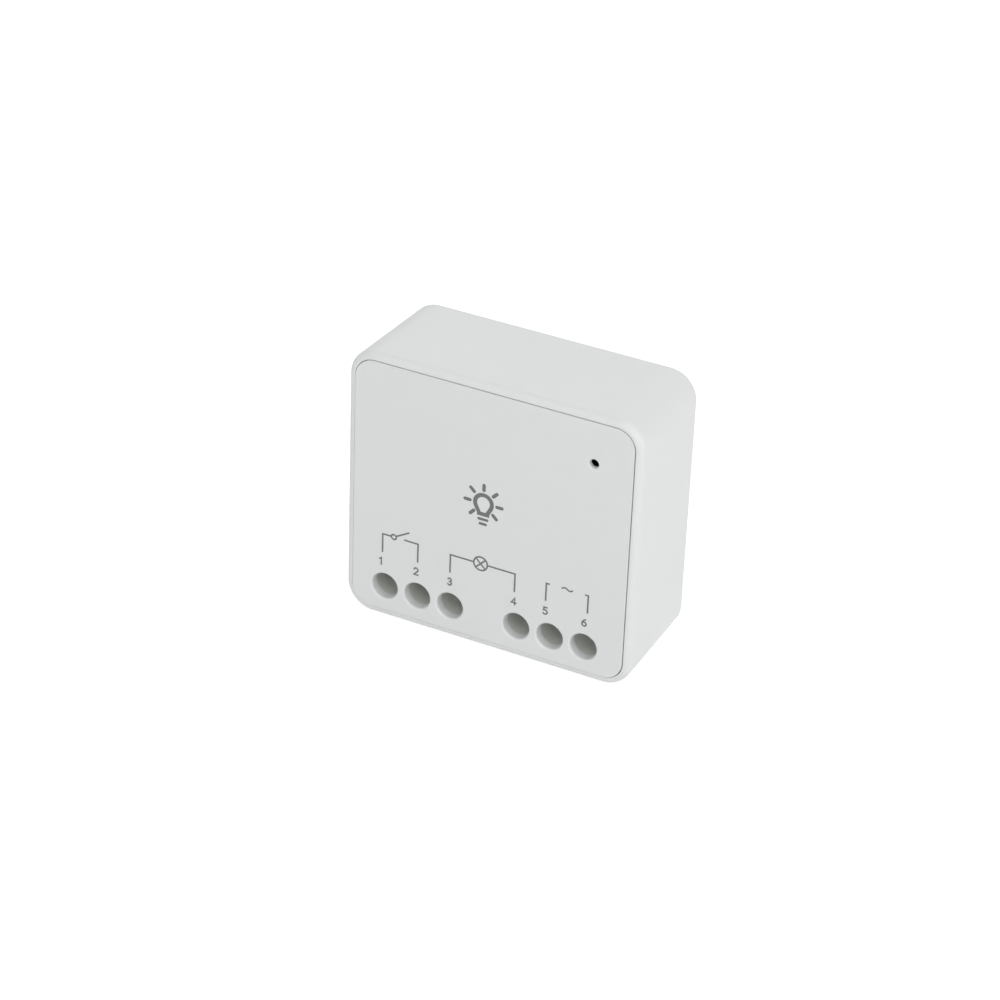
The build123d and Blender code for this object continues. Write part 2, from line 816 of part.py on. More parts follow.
# The armature turns about the end of the yoke. It and its blade are drawn as they lie when
# the relay is pulled in, on a plane that is turned to where they rest when it is released.
swing = math.radians(armature_open_degrees)
armature_plane = Plane(
    origin=(pivot_x, y_at(coil_depth), pivot_z),
    x_dir=(math.cos(swing), 0, math.sin(swing)),
    z_dir=(0, -1, 0),
)
with BuildPart() as relay_armature:
    with BuildSketch(armature_plane):
        with Locations((armature_thickness / 2, pivot_drop - armature_length / 2)):
            Rectangle(armature_thickness, armature_length)
    extrude(amount=yoke_width / 2, both=True)
finish(relay_armature, "relay_armature")

with BuildPart() as relay_moving_contact:
    blade_low = contact_button_z - contact_button_radius - pivot_z
    with BuildSketch(armature_plane):
        with Locations((armature_thickness + blade_thickness / 2, blade_low / 2)):
            Rectangle(blade_thickness, -blade_low)
    extrude(amount=blade_width / 2, both=True)
    button_plane = Plane(
        origin=armature_plane.from_local_coords((armature_thickness, contact_button_z - pivot_z, 0)),
        x_dir=armature_plane.y_dir,
        z_dir=-armature_plane.x_dir,
    )
    with BuildSketch(button_plane):
        Circle(contact_button_radius)
    extrude(amount=contact_button_height)
finish(relay_moving_contact, "relay_moving_contact")

with BuildPart() as relay_fixed_contact:
    with BuildSketch(behind_front(lead_end)):
        with Locations((fixed_plate_x, contact_button_z)):
            Rectangle(fixed_plate_thickness, fixed_plate_width)
    extrude(amount=lead_end - blade_front)
    with BuildSketch(Plane.YZ.offset(fixed_face - contact_button_height)):
        with Locations((y_at(coil_depth), contact_button_z)):
            Circle(contact_button_radius)
    extrude(amount=contact_button_height)
finish(relay_fixed_contact, "relay_fixed_contact")
leads.append(
    (fixed_plate_x, contact_button_z, math.hypot(fixed_plate_thickness, fixed_plate_width) / 2)
)

with BuildPart() as relay_pins:
    with BuildSketch(behind_front(lead_end)):
        with Locations(*coil_pin_places):
            Circle(relay_pin_radius)
    extrude(amount=lead_end - base_front + relay_pin_inset)
    with BuildSketch(behind_front(lead_end)):
        with Locations((common_pin_x, common_pin_z)):
            Rectangle(common_pin_width, common_pin_thickness)
    extrude(amount=lead_end - coil_depth)
finish(relay_pins, "relay_pins")
leads += [(x, z, relay_pin_radius) for x, z in coil_pin_places]
leads.append(
    (common_pin_x, common_pin_z, math.hypot(common_pin_width, common_pin_thickness) / 2)
)

# Mains transformer: two E-shaped core halves round a bobbin that stands on the board
core_back = board_depth - transformer_stand
core_front = cover_thickness + transformer_front_gap
transformer_core_height = core_back - core_front
core_middle = (core_front + core_back) / 2
window_width = transformer_core_width / 2 - transformer_leg - transformer_centre_leg / 2
window_height = transformer_core_height - 2 * transformer_yoke
window_x = transformer_centre_leg / 2 + window_width / 2

with BuildPart() as transformer_core:
    with BuildSketch(Plane.XY.offset(transformer_z - transformer_core_thickness / 2)):
        with Locations((transformer_x, y_at(core_middle))):
            Rectangle(transformer_core_width, transformer_core_height)
        for side in (-1, 1):
            with Locations((transformer_x + side * window_x, y_at(core_middle))):
                Rectangle(window_width, window_height, mode=Mode.SUBTRACT)
        with Locations((transformer_x, y_at(core_middle))):
            Rectangle(transformer_core_width, transformer_core_gap, mode=Mode.SUBTRACT)
    extrude(amount=transformer_core_thickness)
finish(transformer_core, "transformer_core")

tube_width = transformer_centre_leg + 2 * transformer_play
tube_depth = transformer_core_thickness + 2 * transformer_play
flange_width = transformer_centre_leg + 2 * window_width - 2 * transformer_play
flange_front = core_middle - window_height / 2 + transformer_play
flange_back = core_middle + window_height / 2 - transformer_play
rail_z = (transformer_core_thickness + 2 * transformer_play + transformer_rail_width) / 2
rail_length = transformer_core_width - transformer_rail_short
rail_pin_spacing = rail_length / rail_pin_count
transformer_pins = [
    (transformer_x + step * rail_pin_spacing, transformer_z + side * rail_z)
    for step in (-1, 0, 1)
    for side in (-1, 1)
]

with BuildPart() as transformer_bobbin:
    for front_side in (flange_front, flange_back - transformer_flange_thickness):
        with BuildSketch(behind_front(front_side + transformer_flange_thickness)):
            with Locations((transformer_x, transformer_z)):
                Rectangle(flange_width, transformer_flange_height)
        extrude(amount=transformer_flange_thickness)
    with BuildSketch(behind_front(flange_back)):
        with Locations((transformer_x, transformer_z)):
            Rectangle(tube_width + 2 * transformer_tube_wall, tube_depth + 2 * transformer_tube_wall)
    extrude(amount=flange_back - flange_front)
    # rails that stand on the board, above and below the core
    with BuildSketch(behind_front(board_depth)):
        with Locations((transformer_x, transformer_z - rail_z), (transformer_x, transformer_z + rail_z)):
            Rectangle(rail_length, transformer_rail_width)
    extrude(amount=board_depth - flange_back + transformer_flange_thickness)
    with BuildSketch(behind_front(flange_back)):
        with Locations((transformer_x, transformer_z)):
            Rectangle(tube_width, tube_depth)
    extrude(amount=flange_back - flange_front, mode=Mode.SUBTRACT)
    with BuildSketch(behind_front(board_depth)):
        with Locations(*transformer_pins):
            Circle(lead_radius)
    extrude(amount=transformer_stand, mode=Mode.SUBTRACT)
finish(transformer_bobbin, "transformer_bobbin")

with BuildPart() as transformer_winding:
    with BuildSketch(behind_front(flange_back - transformer_flange_thickness)):
        with Locations((transformer_x, transformer_z)):
            RectangleRounded(
                flange_width - 2 * transformer_winding_inset,
                transformer_flange_height - 2 * transformer_winding_inset,
                transformer_winding_rounding,
            )
            Rectangle(
                tube_width + 2 * transformer_tube_wall,
                tube_depth + 2 * transformer_tube_wall,
                mode=Mode.SUBTRACT,
            )
    extrude(amount=flange_back - flange_front - 2 * transformer_flange_thickness)
finish(transformer_winding, "transformer_winding")
leads += [(x, z, lead_radius) for x, z in transformer_pins]

# Lying bulk capacitor: a can with a groove near its sealed end
bulk_right = bulk_left + bulk_length
with BuildPart() as bulk_capacitor:
    with BuildSketch(Plane.XY.offset(bulk_z)):
        with BuildLine():
            axis_y = y_at(bulk_depth)
            groove = bulk_left + bulk_groove_place
            Polyline(
                (bulk_left, axis_y),
                (bulk_left, axis_y + bulk_radius),
                (groove - bulk_groove, axis_y + bulk_radius),
                (groove, axis_y + bulk_radius - bulk_groove),
                (groove + bulk_groove, axis_y + bulk_radius),
                (bulk_right, axis_y + bulk_radius),
                (bulk_right, axis_y),
                close=True,
            )
        make_face()
    revolve(axis=Axis((bulk_left, axis_y, bulk_z), (1, 0, 0)))
    ends = bulk_capacitor.faces().sort_by(Axis.X)
    fillet([ends[0].edges(), ends[-1].edges()], can_rounding)
finish(bulk_capacitor, "bulk_capacitor")

with BuildPart() as output_capacitor:
    with BuildSketch(behind_front(board_depth)):
        with Locations((output_x, output_z)):
            Circle(output_radius)
    extrude(amount=output_height)
    fillet(output_capacitor.faces().sort_by(Axis.Y)[0].edges(), can_rounding)
finish(output_capacitor, "output_capacitor")

with BuildPart() as filter_inductor:
    inductor_plane = Plane(
        origin=(inductor_x, y_at(board_depth), inductor_z), x_dir=(1, 0, 0), z_dir=(0, 0, -1)
    )
    with BuildSketch(inductor_plane):
        with BuildLine():
            Polyline(
                (0, 0),
                (inductor_radius, 0),
                (inductor_radius, inductor_flange),
                (inductor_neck_radius, inductor_flange),
                (inductor_neck_radius, inductor_height - inductor_flange),
                (inductor_radius, inductor_height - inductor_flange),
                (inductor_radius, inductor_height),
                (0, inductor_height),
                close=True,
            )
        make_face()
    revolve(axis=Axis((inductor_x, 0, inductor_z), (0, 1, 0)))
finish(filter_inductor, "filter_inductor")

with BuildPart() as inductor_winding:
    with BuildSketch(behind_front(board_depth - inductor_flange)):
        with Locations((inductor_x, inductor_z)):
            Circle(inductor_radius - inductor_winding_inset)
            Circle(inductor_neck_radius, mode=Mode.SUBTRACT)
    extrude(amount=inductor_height - 2 * inductor_flange)
finish(inductor_winding, "inductor_winding")

with BuildPart() as fuse_resistor:
    fuse_plane = Plane.YZ.offset(transformer_x - fuse_length / 2)
    with BuildSketch(fuse_plane):
        with Locations((y_at(fuse_depth), fuse_z)):
            Circle(fuse_radius)
    extrude(amount=fuse_length)
    # a wider cap at each end
    cap_length = fuse_length * fuse_cap_share
    for cap_left in (0, fuse_length - cap_length):
        with BuildSketch(fuse_plane.offset(cap_left)):
            with Locations((y_at(fuse_depth), fuse_z)):
                Circle(fuse_radius + fuse_waist)
        extrude(amount=cap_length)
    ends = fuse_resistor.faces().sort_by(Axis.X)
    fillet([ends[0].edges(), ends[-1].edges()], can_rounding)
finish(fuse_resistor, "fuse_resistor")

with BuildPart() as varistor:
    with BuildSketch(Plane.XY.offset(varistor_z - varistor_thickness / 2)):
        with Locations((varistor_x, y_at(varistor_depth))):
            Circle(varistor_radius)
    extrude(amount=varistor_thickness)
    fillet(varistor.edges(), can_rounding)
finish(varistor, "varistor")


def bent_lead(start, corner, end):
    """A round wire from start round a corner to end."""
    with BuildPart() as wire:
        with BuildLine() as path:
            FilletPolyline(start, corner, end, radius=bend_radius)
        with BuildSketch(Plane(origin=start, z_dir=Vector(corner) - Vector(start))):
            Circle(lead_radius)
        sweep(path=path.line)
    return wire.part


bulk_lead_x = bulk_left - bulk_lead_out
bulk_lead_heights = [bulk_z - bulk_lead_spacing / 2, bulk_z + bulk_lead_spacing / 2]
with BuildPart() as component_leads:
    for z in bulk_lead_heights:
        add(
            bent_lead(
                (bulk_left, y_at(bulk_depth), z),
                (bulk_lead_x, y_at(bulk_depth), z),
                (bulk_lead_x, y_at(lead_end), z),
            )
        )
    for side in (-1, 1):
        add(
            bent_lead(
                (transformer_x + side * fuse_length / 2, y_at(fuse_depth), fuse_z),
                (transformer_x + side * fuse_lead_span / 2, y_at(fuse_depth), fuse_z),
                (transformer_x + side * fuse_lead_span / 2, y_at(lead_end), fuse_z),
            )
        )
        # straight leads below the standing parts
        for x, z, top in (
            (output_x, output_z + side * output_lead_spacing / 2, board_depth),
            (inductor_x, inductor_z + side * inductor_lead_spacing / 2, board_depth),
        ):
            with BuildSketch(behind_front(lead_end)):
                with Locations((x, z)):
                    Circle(lead_radius)
            extrude(amount=lead_end - top)
            leads.append((x, z, lead_radius))
    # the varistor's leads start at its lower edge, where its disc is narrower
    for side in (-1, 1):
        x = varistor_x + side * varistor_lead_spacing / 2
        rise = math.sqrt(varistor_radius**2 - (varistor_lead_spacing / 2 - lead_radius) ** 2)
        with BuildSketch(behind_front(lead_end)):
            with Locations((x, varistor_z)):
                Circle(lead_radius)
        extrude(amount=lead_end - varistor_depth - rise)
        leads.append((x, varistor_z, lead_radius))
    # and below the transformer
    with BuildSketch(behind_front(lead_end)):
        with Locations(*transformer_pins):
            Circle(lead_radius)
    extrude(amount=lead_end - board_depth + transformer_stand)
leads += [(bulk_lead_x, z, lead_radius) for z in bulk_lead_heights]
leads += [
    (transformer_x + side * fuse_lead_span / 2, fuse_z, lead_radius) for side in (-1, 1)
]

# Radio module
with BuildPart() as radio_board:
    with BuildSketch(behind_front(board_depth)):
        with Locations((radio_x, radio_z)):
            Rectangle(radio_width, radio_height)
    extrude(amount=radio_thickness)
finish(radio_board, "radio_board")

radio_front = board_depth - radio_thickness
shield_x = radio_x + inner_width * shield_shift_share
with BuildPart() as radio_shield:
    with BuildSketch(behind_front(radio_front)):
        with Locations((shield_x, radio_z)):
            Rectangle(shield_width, shield_height)
    extrude(amount=shield_depth)
    fillet(radio_shield.faces().sort_by(Axis.Y)[0].edges(), shield_wall)
    with BuildSketch(behind_front(radio_front)):
        with Locations((shield_x, radio_z)):
            Rectangle(shield_width - 2 * shield_wall, shield_height - 2 * shield_wall)
    extrude(amount=shield_depth - shield_wall, mode=Mode.SUBTRACT)
finish(radio_shield, "radio_shield")

with BuildPart() as radio_chip:
    with BuildSketch(behind_front(radio_front)):
        with Locations((shield_x, radio_z)):
            Rectangle(radio_chip_size, radio_chip_size)
    extrude(amount=radio_chip_height)
finish(radio_chip, "radio_chip")

with BuildPart() as radio_antenna:
    with BuildSketch(behind_front(radio_front)):
        with Locations((radio_x + inner_width * antenna_shift_share, radio_z)):
            Rectangle(antenna_width, antenna_height)
    extrude(amount=antenna_thickness)
finish(radio_antenna, "radio_antenna")

# Pairing switch. Pressing its plunger snaps the dome below it.
switch_front = board_depth - switch_height
cavity_floor = switch_front + switch_cavity_depth
frame_front = switch_front - switch_frame_thickness
plunger_front = cover_thickness + plunger_front_gap
flange_front_depth = switch_front + plunger_flange_gap
plunger_back = flange_front_depth + plunger_flange_height
half_switch = switch_size / 2
rivet_step = switch_size - 2 * switch_rivet_inset
switch_leg_places = [
    (button_x + side * switch_leg_spread, button_z + end * switch_leg_rise)
    for side in (-1, 1)
    for end in (-1, 1)
]

with BuildPart() as switch_base:
    with BuildSketch(behind_front(board_depth)):
        with Locations((button_x, button_z)):
            RectangleRounded(switch_size, switch_size, block_rounding)
    extrude(amount=switch_height)
    with BuildSketch(behind_front(cavity_floor)):
        with Locations((button_x, button_z)):
            Circle(switch_cavity_radius)
    extrude(amount=switch_cavity_depth, mode=Mode.SUBTRACT)
    # four rivets that hold the frame
    with BuildSketch(behind_front(switch_front)):
        with Locations((button_x, button_z)):
            with GridLocations(rivet_step, rivet_step, 2, 2):
                Circle(switch_rivet_radius)
    extrude(amount=switch_frame_thickness + switch_rivet_height)
    with BuildSketch(behind_front(board_depth)):
        with Locations(*switch_leg_places):
            Circle(lead_radius)
    extrude(amount=switch_leg_seat, mode=Mode.SUBTRACT)
finish(switch_base, "switch_base")

with BuildPart() as switch_frame:
    with BuildSketch(behind_front(switch_front)):
        with Locations((button_x, button_z)):
            RectangleRounded(switch_size, switch_size, block_rounding)
            Circle(plunger_radius + plunger_guide_play, mode=Mode.SUBTRACT)
            with GridLocations(rivet_step, rivet_step, 2, 2):
                Circle(switch_rivet_radius, mode=Mode.SUBTRACT)
    extrude(amount=switch_frame_thickness)
finish(switch_frame, "switch_frame")

with BuildPart() as switch_dome:
    # a shallow cap of a sphere on its rim
    dome_sphere = (dome_radius**2 + dome_height**2) / (2 * dome_height)
    dome_centre = cavity_floor - dome_height + dome_sphere
    with BuildSketch(Plane.XY.offset(button_z)):
        with BuildLine():
            top_y = y_at(cavity_floor - dome_height)
            rim_y = y_at(cavity_floor)
            outer = RadiusArc(
                (button_x, top_y), (button_x + dome_radius, rim_y), dome_sphere, short_sagitta=True
            )
            inner_reach = math.sqrt((dome_sphere - dome_thickness) ** 2 - (dome_sphere - dome_height) ** 2)
            Line((button_x + dome_radius, rim_y), (button_x + inner_reach, rim_y))
            inner = RadiusArc(
                (button_x, top_y + dome_thickness),
                (button_x + inner_reach, rim_y),
                dome_sphere - dome_thickness,
                short_sagitta=True,
            )
            Line((button_x, top_y), (button_x, top_y + dome_thickness))
        make_face()
    revolve(axis=Axis((button_x, 0, button_z), (0, 1, 0)))
finish(switch_dome, "switch_dome")

with BuildPart() as switch_plunger:
    with BuildSketch(behind_front(flange_front_depth)):
        with Locations((button_x, button_z)):
            Circle(plunger_radius)
    extrude(amount=flange_front_depth - plunger_front)
    fillet(switch_plunger.faces().sort_by(Axis.Y)[0].edges(), plunger_rounding)
    with BuildSketch(behind_front(plunger_back)):
        with Locations((button_x, button_z)):
            Circle(plunger_flange_radius)
    extrude(amount=plunger_flange_height)
    with BuildSketch(behind_front(plunger_back + plunger_nub_height)):
        with Locations((button_x, button_z)):
            Circle(plunger_nub_radius)
    extrude(amount=plunger_nub_height)
finish(switch_plunger, "switch_plunger")

with BuildPart() as switch_legs:
    with BuildSketch(behind_front(lead_end)):
        with Locations(*switch_leg_places):
            Circle(lead_radius)
    extrude(amount=lead_end - board_depth + switch_leg_seat)
finish(switch_legs, "switch_legs")
leads += [(x, z, lead_radius) for x, z in switch_leg_places]
finish(component_leads, "component_leads")


def flat_parts(places, size, rounding):
    """Small bodies that lie on the back of the board, all of one size."""
    length, rise, thickness = size
    with BuildPart() as parts:
        with BuildSketch(behind_front(board_back + chip_seat_gap + thickness)):
            with Locations(*places):
                Rectangle(length, rise)
        extrude(amount=thickness)
        if rounding:
            fillet(parts.edges().filter_by(Axis.Y, reverse=True), rounding)
    return parts


def row(place, spacing, count):
    """Places in a row, from its first one to the right."""
    return [(place[0] + spacing * step, place[1]) for step in range(count)]


bridge_place = place_at(bridge_place_shares)
controller_place = place_at(controller_place_shares)
resistor_places = row(
    place_at(resistor_row_shares), inner_width * resistor_pitch_share, resistor_count
)
resistor_rise = height * resistor_row_rise_share
resistor_places += [(x, z + resistor_rise) for x, z in resistor_places[:upper_resistor_count]]
chip_capacitor_places = row(
    place_at(capacitor_row_shares), inner_width * capacitor_pitch_share, capacitor_count
)
transistor_places = row(
    place_at(transistor_row_shares), inner_width * transistor_pitch_share, transistor_count
)
diode_x, diode_z = place_at(diode_column_shares)
diode_pitch = height * diode_pitch_share
diode_places = [(diode_x, diode_z + diode_pitch * step) for step in range(diode_count)]

bridge_rectifier = flat_parts([bridge_place], bridge_size, chip_rounding)
finish(bridge_rectifier, "bridge_rectifier")
power_controller = flat_parts([controller_place], controller_size, chip_rounding)
finish(power_controller, "power_controller")
finish(flat_parts(transistor_places, transistor_size, chip_rounding), "small_transistors")
finish(flat_parts(diode_places, diode_size, chip_rounding), "diodes")
finish(flat_parts(resistor_places, chip_resistor_size, 0), "chip_resistors")
finish(flat_parts(chip_capacitor_places, chip_capacitor_size, 0), "chip_capacitors")


def leg_row(place, size, legs, spacing):
    """Flat legs along both long sides of a chip, as places of their middles."""
    x, z = place
    middle = size[1] / 2 + chip_leg_out / 2
    first = x - spacing * (legs - 1) / 2
    return [(first + spacing * step, z + side * middle) for step in range(legs) for side in (-1, 1)]


chip_leg_places = leg_row(controller_place, controller_size, controller_leg_count, chip_leg_pitch)
chip_leg_places += leg_row(bridge_place, bridge_size, bridge_leg_count, bridge_leg_pitch)
for place in transistor_places:
    chip_leg_places += leg_row(place, transistor_size, transistor_leg_count, chip_leg_pitch)
with BuildPart() as chip_legs:
    with BuildSketch(behind_front(board_back + chip_leg_thickness)):
        with Locations(*chip_leg_places):
            Rectangle(chip_leg_width, chip_leg_out)
    extrude(amount=chip_leg_thickness)
finish(chip_legs, "chip_legs")

# Main board, with a hole for each lead and each post's pin
board_side = width / 2 - wall - lean(board_back) - board_clearance
board_low = wall + board_clearance
board_high = height - wall - lean(board_back) - board_clearance
with BuildPart() as main_board:
    with BuildSketch(behind_front(board_back)):
        with Locations((0, (board_low + board_high) / 2)):
            RectangleRounded(2 * board_side, board_high - board_low, board_corner_radius)
        for x, z, radius in leads:
            with Locations((x, z)):
                Circle(radius + lead_hole_clearance, mode=Mode.SUBTRACT)
        with Locations(*post_places):
            Circle(post_pin_radius + post_pin_clearance, mode=Mode.SUBTRACT)
    extrude(amount=board_thickness)
finish(main_board, "main_board")

with BuildPart() as solder_joints:
    for x, z, radius in leads:
        foot = radius + solder_outer_radius
        top = radius + solder_top_radius
        bore = radius + solder_lead_play
        joint_plane = Plane(origin=(x, 0, z), x_dir=(1, 0, 0), z_dir=(0, 0, 1))
        with BuildSketch(joint_plane):
            with BuildLine():
                Polyline(
                    (bore, y_at(board_back)),
                    (foot, y_at(board_back)),
                    (top, y_at(board_back + solder_height)),
                    (bore, y_at(board_back + solder_height)),
                    close=True,
                )
            make_face()
        revolve(axis=Axis((x, 0, z), (0, 1, 0)))
finish(solder_joints, "solder_joints")
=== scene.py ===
"""The relay module's finish: its materials, the printed signs, the lamps, the floor and the camera."""

import json
import math

import bpy
from mathutils import Matrix, Vector
from mathutils.geometry import delaunay_2d_cdt


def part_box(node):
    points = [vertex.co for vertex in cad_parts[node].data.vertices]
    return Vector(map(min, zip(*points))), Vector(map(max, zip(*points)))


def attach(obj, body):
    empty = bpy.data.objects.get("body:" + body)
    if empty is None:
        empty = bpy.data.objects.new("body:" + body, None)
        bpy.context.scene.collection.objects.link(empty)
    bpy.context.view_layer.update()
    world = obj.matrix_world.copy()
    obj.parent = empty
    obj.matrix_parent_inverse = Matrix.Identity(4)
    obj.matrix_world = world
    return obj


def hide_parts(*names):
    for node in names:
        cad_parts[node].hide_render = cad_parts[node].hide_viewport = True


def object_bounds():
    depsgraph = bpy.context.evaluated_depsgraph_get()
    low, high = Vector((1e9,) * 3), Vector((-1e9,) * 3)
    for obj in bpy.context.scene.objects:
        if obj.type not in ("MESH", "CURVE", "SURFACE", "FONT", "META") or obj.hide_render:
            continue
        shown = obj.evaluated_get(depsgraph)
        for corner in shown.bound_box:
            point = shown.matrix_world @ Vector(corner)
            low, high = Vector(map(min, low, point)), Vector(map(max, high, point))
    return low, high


MM = 0.001
EVEN = (1, 1, 1)
WHITE = (1, 1, 1, 1)
UP = Vector((0, 0, 1))
UNTURNED = (0, 0, 0)
FACE_ON = (math.pi / 2, 0, 0)  # lays a flat pattern on a face that looks along Y
FULL_CIRCLE = 360
WAVE_ONCE = math.pi / 10  # the wave texture's scale that makes a band repeat once per unit
MIX_SHARE, MIX_FIRST, MIX_SECOND, MIX_RESULT = 0, 6, 7, 2  # the colour sockets of a Mix node
SHOWN_RAYS = ("Is Camera Ray", "Is Glossy Ray", "Is Transmission Ray")

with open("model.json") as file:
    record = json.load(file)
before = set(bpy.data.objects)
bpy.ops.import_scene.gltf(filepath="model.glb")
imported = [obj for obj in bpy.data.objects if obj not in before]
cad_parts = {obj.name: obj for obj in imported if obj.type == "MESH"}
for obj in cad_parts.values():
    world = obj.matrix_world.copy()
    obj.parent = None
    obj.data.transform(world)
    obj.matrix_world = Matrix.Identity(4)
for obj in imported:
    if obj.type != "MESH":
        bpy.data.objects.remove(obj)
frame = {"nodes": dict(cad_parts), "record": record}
cad_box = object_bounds()

# The photograph's view, in degrees and millimetres
camera_azimuth = 26.189
camera_elevation = 30.458
camera_roll = 2.285
camera_distance = 444.08
camera_lens = 119.1
camera_sensor = 36.0
camera_aim = (-2.718, -0.181, 17.857)
camera_near_share = 0.1

# Light: each lamp's azimuth, elevation, side in millimetres and power in watts
lamp_distance = 600.0
lamps = {
    "lamp_key": (52.0, 30.0, 520.0, 0.72),
    "lamp_front": (10.0, 40.0, 520.0, 0.92),
    "lamp_right": (92.0, 12.0, 520.0, 0.74),
    "lamp_back": (205.0, 35.0, 420.0, 0.5),
}
ambient_strength = 0.507
background_strength = 1.0
floor_side = 6000.0
floor_color = (236, 236, 236)
floor_roughness = 0.9
floor_gloss = 0.1
floor_glow = 0.57

# Print, drawn on the cover in millimetres across and up from the middle of its lower edge
ink_color = (110, 113, 112)
ink_roughness = 0.55
ink_height = 0.012
ink_sink = 0.004  # how far its back lies inside the cover
line_width = 0.23
round_steps = 32
cap_steps = 8
mitre_limit = 2.0
merge_distance = 1e-4

numeral_height = 1.27
numeral_line = 0.22
numeral_bottom = 8.03
numeral_places = (-16.06, -10.66, -5.53, 4.12, 8.79, 14.54)

sign_bottom = 10.1
switch_top = 12.99
switch_left = -15.85
switch_right = -10.45
switch_pivot = -14.15
switch_ring_radius = 0.37
switch_lever_end = (-11.82, 14.33)
switch_contact_start = -12.56

lamp_sign_top = 12.9
lamp_sign_left = -5.53
lamp_sign_right = 4.15
lamp_ring_centre = -1.0
lamp_ring_radius = 1.02
lamp_cross_angles = (45, 135)

mains_bottom = 10.2
mains_top = 12.93
mains_left = 8.79
mains_right = 14.94
mains_tick = 0.5
wave_width = 1.5
wave_rise = 0.16
wave_steps = 24

bulb_centre = (-0.9, 22.22)
bulb_radius = 1.245
bulb_line = 0.58
bulb_neck_half = 0.62
bulb_neck_drop = 1.5
bulb_foot_drop = 1.65
bulb_cap_line = 0.39
bulb_cap_rows = ((2.44, 1.27), (3.15, 0.85))  # each line's drop below the centre and its length
ray_line = 0.49
ray_start = 2.0
ray_end = 2.74
ray_angles = (-44, 0, 45, 90, 135, 180, 226)

# Windings: the node that each replaces, its axis, its wire and its bore's share of its radius
windings = {
    "relay_coil_wire": ("relay_winding", 0, 0.2, 0.612),
    "inductor_coil_wire": ("inductor_winding", 1, 0.3, 0.83),
}
turn_room_share = 1.03  # what each turn takes along the coil, in widths of its wire
turn_steps = 24
wire_sides = 8

# The steps between a colour as it is seen and the linear values that a shader takes
COLOR_FULL = 255
TOE_END = 0.04045
TOE_SLOPE = 12.92
CURVE_OFFSET = 0.055
CURVE_POWER = 2.4


def srgb(red, green, blue):
    """A colour as it is seen, from 0 to 255, as the linear values that a shader takes."""
    linear = []
    for value in (red, green, blue):
        share = value / COLOR_FULL
        if share <= TOE_END:
            linear.append(share / TOE_SLOPE)
        else:
            linear.append(((share + CURVE_OFFSET) / (1 + CURVE_OFFSET)) ** CURVE_POWER)
    return (*linear, 1.0)


